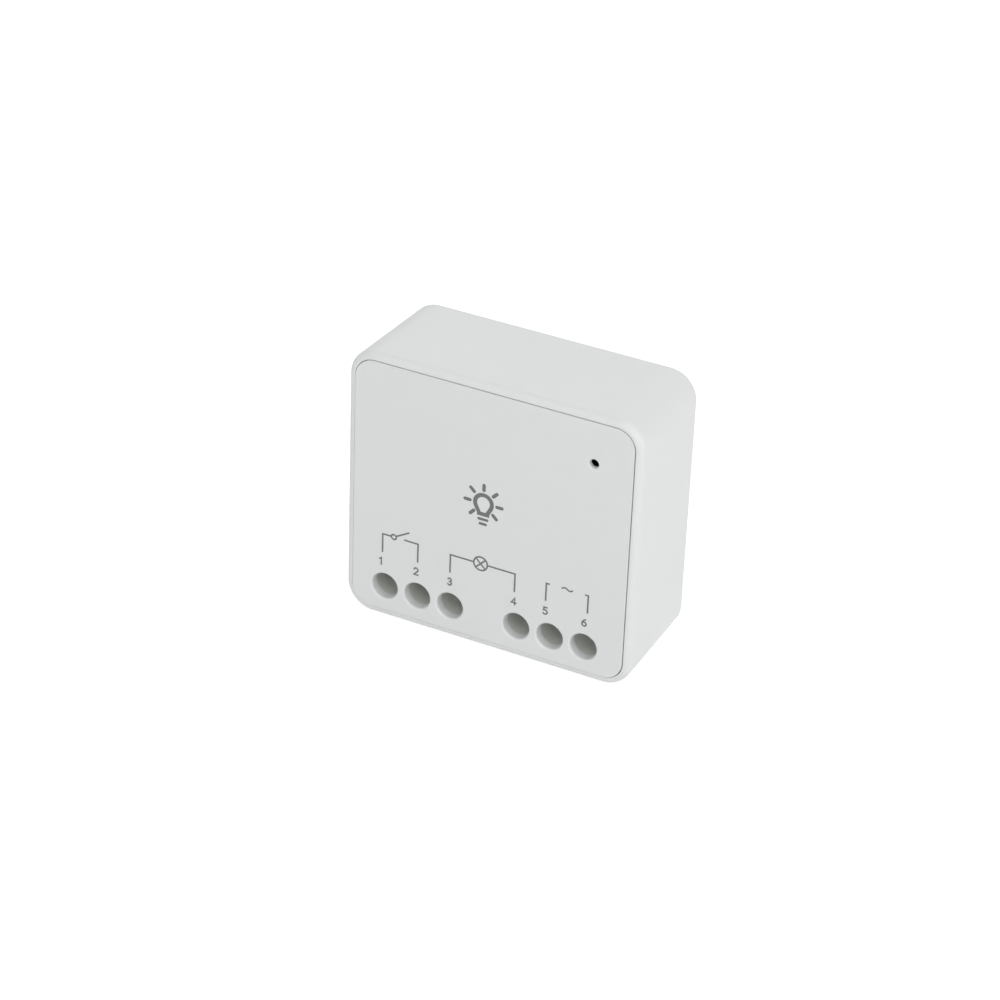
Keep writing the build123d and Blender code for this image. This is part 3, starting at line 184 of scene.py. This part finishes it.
class Surface:
    """A procedural material: a Principled shader, and short ways to feed its sockets.

    Sizes are millimetres on the piece itself, so a finish moves with its piece."""

    def __init__(self, name, color, roughness, metallic=0.0, constants=None):
        self.material = bpy.data.materials.new(name)
        self.material.use_nodes = True
        self.tree = self.material.node_tree
        self.shader = self.tree.nodes["Principled BSDF"]
        self.color = srgb(*color)
        self.roughness = roughness
        self.shader.inputs["Base Color"].default_value = self.color
        self.shader.inputs["Roughness"].default_value = roughness
        self.shader.inputs["Metallic"].default_value = metallic
        for socket, value in (constants or {}).items():
            self.shader.inputs[socket].default_value = value
        self.place = self.add("TexCoord").outputs["Object"]
        self.normal = None

    def add(self, kind, **settings):
        """A new node with these settings."""
        node = self.tree.nodes.new("ShaderNode" + kind)
        for name, value in settings.items():
            setattr(node, name, value)
        return node

    def link(self, output, node_input):
        """Feed a node's input from an output."""
        self.tree.links.new(output, node_input)

    def feed(self, socket, output):
        """Feed one of the shader's sockets."""
        self.link(output, self.shader.inputs[socket])

    def texture(self, kind, place, inputs=None, **settings):
        """A texture that reads this place, with these inputs and settings."""
        node = self.add(kind, **settings)
        for name, value in {"Scale": 1.0, **(inputs or {})}.items():
            node.inputs[name].default_value = value
        self.link(place, node.inputs["Vector"])
        return node.outputs

    def grid(self, size, stretch=EVEN, turn=UNTURNED):
        """The place on the piece, counted in features of this size."""
        mapping = self.add("Mapping")
        mapping.inputs["Scale"].default_value = [1 / (MM * size * s) for s in stretch]
        mapping.inputs["Rotation"].default_value = turn
        self.link(self.place, mapping.inputs["Vector"])
        return mapping.outputs["Vector"]

    def noise(self, size, detail=2.0, stretch=EVEN):
        """Soft noise with features of this size."""
        return self.texture("TexNoise", self.grid(size, stretch), {"Detail": detail})["Fac"]

    def cells(self, size, output="Distance", measure="EUCLIDEAN"):
        """Scattered cells of this size: the distance to their middles, or their random colour."""
        return self.texture("TexVoronoi", self.grid(size), distance=measure)[output]

    def bands(self, pitch, axis):
        """Even soft bands across one axis, this far apart."""
        scale = {"Scale": WAVE_ONCE}
        return self.texture("TexWave", self.grid(pitch), scale, bands_direction=axis)["Fac"]

    def lines(self, size, width, apart, length, softness=0.1):
        """Straight lines on a face that looks along Y, joined across at each length.

        Their width, distance apart and length are counted in the size."""
        inputs = {
            "Mortar Size": width / 2,
            "Mortar Smooth": softness,
            "Row Height": apart,
            "Brick Width": length,
        }
        return self.texture("TexBrick", self.grid(size, turn=FACE_ON), inputs)["Fac"]

    def facing(self, axis):
        """How far the surface faces along an axis of the piece, either way, from 0 to 1."""
        parts = self.add("SeparateXYZ")
        self.link(self.add("TexCoord").outputs["Normal"], parts.inputs["Vector"])
        size = self.add("Math", operation="ABSOLUTE")
        self.link(parts.outputs[axis], size.inputs["Value"])
        return size.outputs["Value"]

    def spread(self, value, low, high, start=0.0, end=1.0):
        """A value that runs from start to end, brought to run from low to high."""
        node = self.add("MapRange")
        node.inputs["From Min"].default_value = start
        node.inputs["From Max"].default_value = end
        node.inputs["To Min"].default_value = low
        node.inputs["To Max"].default_value = high
        self.link(value, node.inputs["Value"])
        return node.outputs["Result"]

    def step(self, value, start, end):
        """0 where a value is below the start, 1 where it is over the end, and even in between."""
        return self.spread(value, 0.0, 1.0, start, end)

    def blend(self, share, first, second):
        """A colour that turns from the first into the second as the share grows."""
        node = self.add("Mix", data_type="RGBA")
        self.link(share, node.inputs[MIX_SHARE])
        for color, slot in ((first, node.inputs[MIX_FIRST]), (second, node.inputs[MIX_SECOND])):
            if isinstance(color, tuple):
                slot.default_value = color
            else:
                self.link(color, slot)
        return node.outputs[MIX_RESULT]

    def shade(self, share):
        """The material's own colour, made darker or lighter all alike."""
        red, green, blue, _ = self.color
        return (red * share, green * share, blue * share, 1.0)

    def shades(self, marks, darkest, lightest):
        """The material's own colour, from one share of it to another along some marks."""
        return self.blend(marks, self.shade(darkest), self.shade(lightest))

    def uneven(self, size, darkest, lightest):
        """The material's own colour in soft clouds from one share of it to another."""
        return self.shades(self.noise(size, detail=3.0), darkest, lightest)

    def polish(self, marks, swing):
        """A roughness that follows some marks, this far either way."""
        low, high = self.roughness - swing, self.roughness + swing
        self.feed("Roughness", self.spread(marks, low, high))

    def relief(self, height, depth):
        """Raise and sink the surface by up to this depth."""
        bump = self.add("Bump")
        bump.inputs["Distance"].default_value = depth * MM
        self.link(height, bump.inputs["Height"])
        if self.normal is not None:
            self.link(self.normal, bump.inputs["Normal"])
        self.normal = bump.outputs["Normal"]
        self.feed("Normal", self.normal)


def moulding(name, color, roughness, grain, depth, constants=None):
    """A moulded plastic: fine spark eroded grain, slightly uneven colour and gloss."""
    skin = Surface(name, color, roughness, constants=constants)
    skin.feed("Base Color", skin.uneven(size=6.0, darkest=0.985, lightest=1.012))
    skin.polish(skin.noise(size=1.6, detail=4.0), swing=0.06)
    skin.relief(skin.noise(grain, detail=3.0), depth)
    return skin


def metal(name, color, roughness, stretch=EVEN):
    """A plated or bare metal with fine marks, drawn out along an axis by the stretch."""
    skin = Surface(name, color, roughness, metallic=1.0)
    marks = skin.noise(size=0.09, detail=4.0, stretch=stretch)
    skin.polish(marks, swing=0.1)
    skin.feed("Base Color", skin.uneven(size=0.8, darkest=0.88, lightest=1.04))
    skin.relief(marks, depth=0.003)
    return skin


def cloudy(weight, reach):
    """The constants of a plastic that lets a little light in, this far."""
    return {
        "Subsurface Weight": weight,
        "Subsurface Radius": EVEN,
        "Subsurface Scale": reach * MM,
    }


def housing_plastic(slot):
    """White housing: matt with a fine grain."""
    inside = cloudy(weight=0.25, reach=0.5)
    return moulding(slot, (228, 230, 230), roughness=0.46, grain=0.11, depth=0.0035, constants=inside)


def terminal_plastic(slot):
    """Olive grey terminal blocks."""
    return moulding(slot, (211, 214, 207), roughness=0.5, grain=0.09, depth=0.005)


def relay_plastic(slot):
    """The relay's black case and base, with a plain grain."""
    return moulding(slot, (40, 40, 43), roughness=0.42, grain=0.14, depth=0.006)


def bobbin_plastic(slot):
    """Natural nylon, a little cloudy."""
    inside = cloudy(weight=0.4, reach=0.8)
    return moulding(slot, (224, 219, 203), roughness=0.38, grain=0.3, depth=0.003, constants=inside)


def switch_plastic(slot):
    """The button's black plastic."""
    return moulding(slot, (34, 34, 35), roughness=0.4, grain=0.07, depth=0.003)


def tinned_copper(slot):
    """Bright tin with a faint bloom."""
    return metal(slot, (218, 218, 214), roughness=0.27)


def contact_copper(slot):
    """Rolled copper alloy, with the marks along the blade."""
    return metal(slot, (214, 152, 108), roughness=0.3, stretch=(1, 1, 9))


def magnetic_steel(slot):
    """Soft iron under thin nickel."""
    return metal(slot, (196, 196, 200), roughness=0.34, stretch=(7, 1, 1))


def shield_metal(slot):
    """Nickel silver sheet, rolled across."""
    return metal(slot, (216, 214, 208), roughness=0.33, stretch=(9, 1, 1))


def spring_steel(slot):
    """Bright stainless sheet."""
    return metal(slot, (206, 206, 206), roughness=0.22, stretch=(6, 1, 1))


def screw_steel(slot):
    """Zinc plated steel, turned, with a bluish tint here and there."""
    skin = metal(slot, (168, 170, 173), roughness=0.34, stretch=(5, 1, 5))
    tint = skin.blend(skin.noise(size=1.4), srgb(156, 162, 172), srgb(178, 175, 166))
    skin.feed("Base Color", tint)
    return skin


def cage_steel(slot):
    """Zinc plated steel, bent from sheet, with a yellowish tint here and there."""
    skin = metal(slot, (166, 164, 158), roughness=0.38, stretch=(1, 6, 1))
    tint = skin.blend(skin.noise(size=1.8), srgb(160, 163, 167), srgb(174, 167, 148))
    skin.feed("Base Color", tint)
    return skin


def solder(slot):
    """Solder that has flowed: bright, with soft ripples."""
    skin = Surface(slot, (214, 214, 216), roughness=0.2, metallic=1.0)
    skin.feed("Base Color", skin.uneven(size=0.5, darkest=0.9, lightest=1.04))
    skin.polish(skin.noise(size=0.3, detail=3.0), swing=0.09)
    skin.relief(skin.noise(size=0.35), depth=0.02)
    return skin


def circuit_board(slot):
    """Green solder mask over tracks and a ground area, and bare glass fibre at the edges."""
    skin = Surface(slot, (22, 108, 62), roughness=0.3)
    tracks = skin.lines(size=2.0, width=0.2, apart=0.46, length=5.3)
    areas = skin.cells(size=5.5, output="Color", measure="CHEBYCHEV")
    copper = skin.add("Math", operation="MAXIMUM")
    skin.link(tracks, copper.inputs[0])
    skin.link(skin.step(areas, start=0.56, end=0.565), copper.inputs[1])
    raised = copper.outputs["Value"]
    mask = skin.shades(raised, darkest=0.72, lightest=1.2)
    weave = skin.blend(skin.bands(0.35, "X"), srgb(168, 160, 110), srgb(196, 188, 138))
    flat = skin.step(skin.facing("Y"), start=0.5, end=0.6)
    skin.feed("Base Color", skin.blend(flat, weave, mask))
    skin.feed("Roughness", skin.spread(flat, low=0.75, high=0.3))
    skin.relief(raised, depth=0.035)
    return skin


def winding_wire(slot):
    """Copper wire under a red brown lacquer, a little thicker here and there."""
    lacquer = {"Coat Weight": 0.6, "Coat Roughness": 0.12}
    skin = Surface(slot, (196, 106, 58), roughness=0.3, metallic=0.85, constants=lacquer)
    skin.feed("Base Color", skin.uneven(size=0.5, darkest=0.7, lightest=1.15))
    skin.polish(skin.noise(size=0.12, detail=3.0), swing=0.08)
    skin.relief(skin.noise(size=0.06), depth=0.004)
    return skin


def winding_tape(slot):
    """Yellow polyester tape, glossy, with the edges of its turns."""
    skin = Surface(slot, (236, 204, 66), roughness=0.24)
    skin.feed("Base Color", skin.uneven(size=1.5, darkest=0.93, lightest=1.05))
    skin.relief(skin.noise(size=0.9, stretch=(1, 1, 6)), depth=0.03)
    skin.relief(skin.step(skin.bands(2.2, "Z"), start=0.9, end=0.95), depth=0.02)
    return skin


def ferrite(slot):
    """Sintered ferrite: dark, dull and faintly speckled."""
    skin = Surface(slot, (66, 66, 70), roughness=0.62)
    skin.feed("Base Color", skin.blend(skin.cells(0.16), skin.shade(1.35), skin.shade(0.8)))
    skin.polish(skin.noise(size=0.4, detail=4.0), swing=0.1)
    skin.relief(skin.noise(size=0.12, detail=4.0), depth=0.01)
    return skin


def capacitor_sleeve(slot):
    """Shrink sleeve, dark and glossy, with a pale stripe down one side."""
    skin = Surface(slot, (42, 44, 52), roughness=0.2)
    stripe = skin.step(skin.facing("Z"), start=0.94, end=0.95)
    sleeve = skin.uneven(size=2.0, darkest=0.9, lightest=1.1)
    skin.feed("Base Color", skin.blend(stripe, sleeve, srgb(176, 180, 186)))
    skin.relief(skin.noise(size=1.2), depth=0.02)
    return skin


def resistor_coating(slot):
    """Green lacquer, thick and a little wavy."""
    skin = Surface(slot, (112, 150, 126), roughness=0.28)
    skin.feed("Base Color", skin.uneven(size=0.8, darkest=0.9, lightest=1.06))
    skin.relief(skin.noise(size=0.8), depth=0.04)
    return skin


def varistor_coating(slot):
    """Blue epoxy that has run a little."""
    skin = Surface(slot, (58, 102, 172), roughness=0.22)
    skin.feed("Base Color", skin.uneven(size=1.4, darkest=0.9, lightest=1.08))
    skin.relief(skin.noise(size=1.1), depth=0.06)
    return skin


def chip_resin(slot):
    """Black filled resin with a satin top."""
    skin = Surface(slot, (38, 38, 39), roughness=0.55)
    skin.feed("Base Color", skin.shades(skin.noise(size=0.05), darkest=0.8, lightest=1.4))
    skin.polish(skin.noise(size=0.5, detail=4.0), swing=0.08)
    skin.relief(skin.noise(size=0.06, detail=3.0), depth=0.003)
    return skin


def antenna_ceramic(slot):
    """White fired ceramic."""
    skin = Surface(slot, (228, 226, 219), roughness=0.3)
    skin.feed("Base Color", skin.uneven(size=0.6, darkest=0.96, lightest=1.02))
    skin.relief(skin.noise(size=0.2, detail=3.0), depth=0.004)
    return skin


def resistor_film(slot):
    """Black film and glass over a white ceramic body."""
    skin = Surface(slot, (36, 36, 38), roughness=0.3)
    top = skin.step(skin.facing("Y"), start=0.5, end=0.6)
    film = skin.uneven(size=0.3, darkest=0.8, lightest=1.3)
    skin.feed("Base Color", skin.blend(top, srgb(222, 220, 214), film))
    skin.relief(skin.noise(size=0.3), depth=0.006)
    return skin


def chip_ceramic(slot):
    """Tan ceramic of the small capacitors."""
    skin = Surface(slot, (176, 144, 116), roughness=0.48)
    skin.feed("Base Color", skin.uneven(size=0.25, darkest=0.88, lightest=1.08))
    skin.relief(skin.noise(size=0.1, detail=3.0), depth=0.004)
    return skin


finishes = {
    "housing_plastic": housing_plastic,
    "terminal_plastic": terminal_plastic,
    "relay_plastic": relay_plastic,
    "bobbin_plastic": bobbin_plastic,
    "switch_plastic": switch_plastic,
    "tinned_copper": tinned_copper,
    "contact_copper": contact_copper,
    "magnetic_steel": magnetic_steel,
    "shield_metal": shield_metal,
    "spring_steel": spring_steel,
    "plated_screw_steel": screw_steel,
    "plated_cage_steel": cage_steel,
    "solder": solder,
    "circuit_board": circuit_board,
    "winding_wire": winding_wire,
    "winding_tape": winding_tape,
    "ferrite": ferrite,
    "capacitor_sleeve": capacitor_sleeve,
    "resistor_coating": resistor_coating,
    "varistor_coating": varistor_coating,
    "chip_resin": chip_resin,
    "antenna_ceramic": antenna_ceramic,
    "chip_resistor_film": resistor_film,
    "chip_ceramic": chip_ceramic,
}


def print_ink():
    """Grey screen print with a faintly uneven density."""
    skin = Surface("print_ink", ink_color, ink_roughness)
    density = skin.noise(size=0.12)
    skin.feed("Base Color", skin.shades(density, darkest=0.94, lightest=1.06))
    skin.relief(density, depth=0.002)
    return skin.material


def put(name, data):
    """A new object in the scene."""
    thing = bpy.data.objects.new(name, data)
    bpy.context.scene.collection.objects.link(thing)
    return thing


def join_rings(start, count, size, closed=False):
    """Faces between rings of corners, this many of this size, each joined to the next."""
    faces = []
    for ring in range(count if closed else count - 1):
        first = start + ring * size
        second = start + (ring + 1) % count * size
        for side in range(size):
            after = (side + 1) % size
            faces.append([first + side, second + side, second + after, first + after])
    return faces


def wind_coil(name, node, axis, wire, bore_share, material):
    """One wire wound in close turns over the inner layers, in place of the node's plain sleeve."""
    low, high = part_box(node)
    wire = wire * MM
    radius = (high.z - low.z) / 2
    layer = radius - wire / 2
    length = high[axis] - low[axis]
    foot = (low + high) / 2
    foot[axis] = low[axis]
    along = Vector([float(place == axis) for place in range(len(foot))])
    across = along.cross(UP)

    def outward(step):
        turn = math.tau * step / turn_steps
        return UP * math.cos(turn) + across * math.sin(turn)

    points = []
    turns = int((length - wire * 2) / (wire * turn_room_share))
    steps = turns * turn_steps
    for step in range(steps + 1):
        out = outward(step)
        middle = foot + along * (wire + (length - wire * 2) * step / steps) + out * layer
        for side in range(wire_sides):
            turn = math.tau * side / wire_sides
            points.append(middle + (out * math.cos(turn) + along * math.sin(turn)) * wire / 2)
    last = steps * wire_sides
    faces = join_rings(0, steps + 1, wire_sides)
    faces.append(list(range(wire_sides)))
    faces.append([last + side for side in reversed(range(wire_sides))])
    wire_faces = len(faces)

    # the inner layers, whose outside lies under the middle of the wire
    near, far = foot + along * wire / 2, foot + along * (length - wire / 2)
    bore = radius * bore_share
    section = ((near, layer), (far, layer), (far, bore), (near, bore))
    faces += join_rings(len(points), turn_steps, len(section), closed=True)
    for step in range(turn_steps):
        points += [end + outward(step) * reach for end, reach in section]

    mesh = bpy.data.meshes.new(name)
    mesh.from_pydata(points, [], faces)
    smooth = [True] * wire_faces + [False] * (len(faces) - wire_faces)
    mesh.polygons.foreach_set("use_smooth", smooth)
    mesh.materials.append(material)
    coil = put(name, mesh)
    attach(coil, "root")
    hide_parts(node)


def arc(centre, radius, start, end, steps=round_steps):
    """The points of an arc, from one angle to another, in degrees from the right."""
    angles = [math.radians(start + (end - start) * step / steps) for step in range(steps + 1)]
    return [(centre[0] + radius * math.cos(a), centre[1] + radius * math.sin(a)) for a in angles]


def ribbon(points, width, closed=False, round_ends=True):
    """Faces that cover a line of this width: a mitred strip, with round ends if it is open."""
    line = [Vector(point) for point in points]
    if closed:
        line.append(line[0])
    runs = [(b - a).normalized() for a, b in zip(line, line[1:])]
    sides = [Vector((-run.y, run.x)) for run in runs]
    edges = []
    for place, point in enumerate(line):
        before = sides[place - 1] if place > 0 else (sides[-1] if closed else sides[0])
        after = sides[place] if place < len(sides) else (sides[0] if closed else sides[-1])
        middle = (before + after).normalized()
        reach = min(1 / max(middle.dot(after), 1 / mitre_limit), mitre_limit)
        offset = middle * reach * width / 2
        edges.append((point + offset, point - offset))
    faces = []
    for (left, right), (next_left, next_right) in zip(edges, edges[1:]):
        faces.append([right, next_right, next_left, left])
    if round_ends and not closed:
        for point, side in ((line[0], sides[0]), (line[-1], -sides[-1])):
            turn = math.degrees(math.atan2(side.y, side.x))
            half_circle = arc(point, width / 2, turn, turn + FULL_CIRCLE / 2, cap_steps)
            faces.append([Vector(corner) for corner in half_circle])
    return faces


def thin_line(points):
    """A sign's thin line, with square ends."""
    return ribbon(points, line_width, round_ends=False)


def thin_ring(centre, radius):
    """A sign's thin ring."""
    return ribbon(arc(centre, radius, 0, FULL_CIRCLE)[:-1], line_width, closed=True)


def covers(face, point):
    """Whether a face of a stroke covers a point."""
    inside = False
    for a, b in zip(face, face[1:] + face[:1]):
        if (a.y > point.y) != (b.y > point.y):
            share = (point.y - a.y) / (b.y - a.y)
            if point.x < a.x + share * (b.x - a.x):
                inside = not inside
    return inside


def fill(strokes):
    """The corners and triangles of one flat sheet that covers what the strokes cover."""
    corners = [corner for face in strokes for corner in face]
    loops = []
    for face in strokes:
        start = loops[-1][-1] + 1 if loops else 0
        loops.append(list(range(start, start + len(face))))
    found, _, triangles, _, _, _ = delaunay_2d_cdt(corners, [], loops, 0, merge_distance)
    places, number_of = [], []
    for point in found:
        near = [n for n, place in enumerate(places) if (place - point).length < merge_distance]
        if not near:
            near = [len(places)]
            places.append(point)
        number_of.append(near[0])
    faces = []
    for triangle in triangles:
        middle = sum((found[corner] for corner in triangle), Vector((0, 0))) / len(triangle)
        face = [number_of[corner] for corner in triangle]
        if len(set(face)) == len(face) and any(covers(stroke, middle) for stroke in strokes):
            faces.append(face)
    return places, faces


def printed(name, strokes, ink):
    """A thin flat print on the cover, where its strokes are."""
    places, faces = fill([[Vector(corner) for corner in face] for face in strokes])
    cover_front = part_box("front_cover")[0].y
    front = [Vector((p.x * MM, cover_front - ink_height * MM, p.y * MM)) for p in places]
    back = [Vector((p.x * MM, cover_front + ink_sink * MM, p.y * MM)) for p in places]
    count = len(places)
    directed = {(a, b) for face in faces for a, b in zip(face, face[1:] + face[:1])}
    rim = [(a, b) for a, b in directed if (b, a) not in directed]
    walls = [[b, a, a + count, b + count] for a, b in sorted(rim)]
    backs = [[corner + count for corner in reversed(face)] for face in faces]
    mesh = bpy.data.meshes.new(name)
    mesh.from_pydata(front + back, [], faces + backs + walls)
    mesh.validate()
    mesh.materials.append(ink)
    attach(put(name, mesh), "root")


# The lines of plain numerals, in shares of their height from the middle of their foot
numeral_lines = {
    1: [[(-0.20, 0.80), (0.06, 1.0), (0.06, 0.0)]],
    2: [arc((0.0, 0.72), 0.28, 165, -38) + [(-0.29, 0.0), (0.30, 0.0)]],
    3: [arc((-0.02, 0.765), 0.235, 150, -90), arc((-0.02, 0.265), 0.265, 90, -150)],
    4: [[(0.14, 0.0), (0.14, 1.0), (-0.32, 0.28), (0.32, 0.28)]],
    5: [[(0.24, 1.0), (-0.17, 1.0), (-0.205, 0.555)], arc((-0.02, 0.31), 0.31, 128, -145)],
    6: [arc((0.0, 0.285), 0.285, 0, FULL_CIRCLE), arc((0.40, 0.30), 0.685, 108, 180)],
}


def draw_numerals(ink):
    """A plain number over each terminal."""
    scale = numeral_height - numeral_line
    foot = numeral_bottom + numeral_line / 2
    for number, across in enumerate(numeral_places, 1):
        strokes = []
        for line in numeral_lines[number]:
            points = [(across + x * scale, foot + z * scale) for x, z in line]
            strokes += ribbon(points, numeral_line)
        printed("numeral_" + str(number), strokes, ink)


def draw_switch_sign(ink):
    """An open switch between the first two terminals."""
    pivot = Vector((switch_pivot, switch_top))
    lever = Vector(switch_lever_end) - pivot
    lever_start = pivot + lever.normalized() * switch_ring_radius
    ring_left = (switch_pivot - switch_ring_radius, switch_top)
    contact = (switch_contact_start, switch_top)
    strokes = thin_line([(switch_left, sign_bottom), (switch_left, switch_top), ring_left])
    strokes += thin_line([contact, (switch_right, switch_top), (switch_right, sign_bottom)])
    strokes += thin_line([lever_start, switch_lever_end])
    strokes += thin_ring(pivot, switch_ring_radius)
    printed("switch_sign", strokes, ink)


def draw_lamp_sign(ink):
    """A lamp between the next two: a ring with a cross in it."""
    centre = (lamp_ring_centre, lamp_sign_top)
    ring_left = (lamp_ring_centre - lamp_ring_radius, lamp_sign_top)
    ring_right = (lamp_ring_centre + lamp_ring_radius, lamp_sign_top)
    left_top = (lamp_sign_left, lamp_sign_top)
    right_top = (lamp_sign_right, lamp_sign_top)
    strokes = thin_line([(lamp_sign_left, sign_bottom), left_top, ring_left])
    strokes += thin_line([ring_right, right_top, (lamp_sign_right, sign_bottom)])
    strokes += thin_ring(centre, lamp_ring_radius)
    for turn in lamp_cross_angles:
        strokes += thin_line(arc(centre, lamp_ring_radius, turn, turn + FULL_CIRCLE / 2, 1))
    printed("lamp_sign", strokes, ink)


def draw_mains_sign(ink):
    """The mains between the last two: a wave between two hooks."""
    strokes = []
    for side, inward in ((mains_left, 1), (mains_right, -1)):
        tick_end = (side + inward * mains_tick, mains_top)
        strokes += thin_line([(side, mains_bottom), (side, mains_top), tick_end])
    middle = (mains_left + mains_right) / 2
    wave = []
    for step in range(wave_steps + 1):
        share = step / wave_steps
        across = middle + (share - 1 / 2) * wave_width
        wave.append((across, mains_top + wave_rise * math.sin(math.tau * share)))
    strokes += ribbon(wave, line_width)
    printed("mains_sign", strokes, ink)


def draw_bulb_sign(ink):
    """A shining light bulb in the middle of the cover."""
    across, up = bulb_centre
    neck = math.hypot(bulb_neck_half, bulb_neck_drop)
    lean = math.degrees(math.atan2(bulb_neck_half, bulb_neck_drop))
    start = lean + math.degrees(math.acos(bulb_radius / neck)) - FULL_CIRCLE / 4
    glass = arc(bulb_centre, bulb_radius, start, FULL_CIRCLE / 2 - start)
    neck_right = (across + bulb_neck_half, up - bulb_neck_drop)
    neck_left = (across - bulb_neck_half, up - bulb_neck_drop)
    strokes = ribbon([neck_right] + glass + [neck_left], bulb_line)
    for side, top in ((-1, neck_left), (1, neck_right)):
        foot = (across + side * bulb_neck_half, up - bulb_foot_drop)
        strokes += ribbon([top, foot], bulb_line, round_ends=False)
    foot_half = bulb_neck_half + bulb_line / 2
    foot = [(across + side * foot_half, up - bulb_foot_drop) for side in (-1, 1)]
    strokes += ribbon(foot, bulb_line, round_ends=False)
    for drop, length in bulb_cap_rows:
        row = [(across - length / 2, up - drop), (across + length / 2, up - drop)]
        strokes += ribbon(row, bulb_cap_line)
    for angle in ray_angles:
        turn = math.radians(angle)
        direction = Vector((math.cos(turn), math.sin(turn)))
        ends = [Vector(bulb_centre) + direction * reach for reach in (ray_start, ray_end)]
        strokes += ribbon(ends, ray_line)
    printed("bulb_sign", strokes, ink)


def direction_from(azimuth, elevation):
    """From the object towards an azimuth, with 0 in front and 90 at its right, and an elevation."""
    turn, rise = math.radians(azimuth), math.radians(elevation)
    across = math.cos(rise)
    return Vector((math.sin(turn) * across, -math.cos(turn) * across, math.sin(rise)))


def shown_to(tree, rays):
    """1 where a ray of one of these kinds arrives, and 0 where another does."""
    path = tree.nodes.new("ShaderNodeLightPath")
    shown = path.outputs[rays[0]]
    for ray in rays[1:]:
        either = tree.nodes.new("ShaderNodeMath")
        either.operation = "MAXIMUM"
        tree.links.new(shown, either.inputs[0])
        tree.links.new(path.outputs[ray], either.inputs[1])
        shown = either.outputs["Value"]
    return shown


def make_floor():
    """A wide pale floor, which the camera sees as white but for the object's shadow."""
    half = floor_side / 2 * MM
    mesh = bpy.data.meshes.new("floor")
    corners = [(-half, -half, 0), (half, -half, 0), (half, half, 0), (-half, half, 0)]
    mesh.from_pydata(corners, [], [list(range(len(corners)))])
    gloss = {"Specular IOR Level": floor_gloss, "Emission Color": WHITE}
    skin = Surface("floor", floor_color, floor_roughness, constants=gloss)
    shown = shown_to(skin.tree, SHOWN_RAYS)
    skin.feed("Emission Strength", skin.spread(shown, 0.0, floor_glow))
    mesh.materials.append(skin.material)
    put("floor", mesh)


def make_world():
    """White to the camera and in reflections, and a plain soft light for the rest."""
    world = bpy.data.worlds.new("world")
    bpy.context.scene.world = world
    world.use_nodes = True
    tree = world.node_tree
    light = tree.nodes["Background"]
    light.inputs["Color"].default_value = WHITE
    strength = tree.nodes.new("ShaderNodeMapRange")
    strength.inputs["To Min"].default_value = ambient_strength
    strength.inputs["To Max"].default_value = background_strength
    tree.links.new(shown_to(tree, SHOWN_RAYS), strength.inputs["Value"])
    tree.links.new(strength.outputs["Result"], light.inputs["Strength"])


def make_lamps():
    """Large soft lamps round the object."""
    middle = (cad_box[0] + cad_box[1]) / 2
    for name, (azimuth, elevation, side, power) in lamps.items():
        data = bpy.data.lights.new(name, "AREA")
        data.shape = "SQUARE"
        data.size = side * MM
        data.energy = power
        lamp = put(name, data)
        away = direction_from(azimuth, elevation)
        lamp.location = middle + away * lamp_distance * MM
        lamp.rotation_euler = away.to_track_quat("Z", "Y").to_euler()


def make_camera():
    """The camera where the photograph's stood."""
    data = bpy.data.cameras.new("camera")
    data.lens = camera_lens
    data.sensor_width = camera_sensor
    data.clip_start = camera_distance * MM * camera_near_share
    data.clip_end = floor_side * MM
    camera = put("camera", data)
    back = direction_from(camera_azimuth, camera_elevation)
    right = UP.cross(back).normalized()
    upright = Matrix((right, back.cross(right), back)).transposed().to_4x4()
    place = Matrix.Translation((Vector(camera_aim) + back * camera_distance) * MM)
    camera.matrix_world = place @ upright @ Matrix.Rotation(math.radians(camera_roll), 4, "Z")
    bpy.context.scene.camera = camera


made = {slot: finish(slot).material for slot, finish in finishes.items()}
for part in frame["record"]["subparts"]:
    node = frame["nodes"][part["node"]]
    node.data.materials.clear()
    node.data.materials.append(made[part["material_slot"]])

for name, (node, axis, wire, bore_share) in windings.items():
    wind_coil(name, node, axis, wire, bore_share, made["winding_wire"])

ink = print_ink()
draw_numerals(ink)
draw_switch_sign(ink)
draw_lamp_sign(ink)
draw_mains_sign(ink)
draw_bulb_sign(ink)
make_floor()
make_world()
make_lamps()
make_camera()
bpy.context.scene.view_settings.view_transform = "Standard"
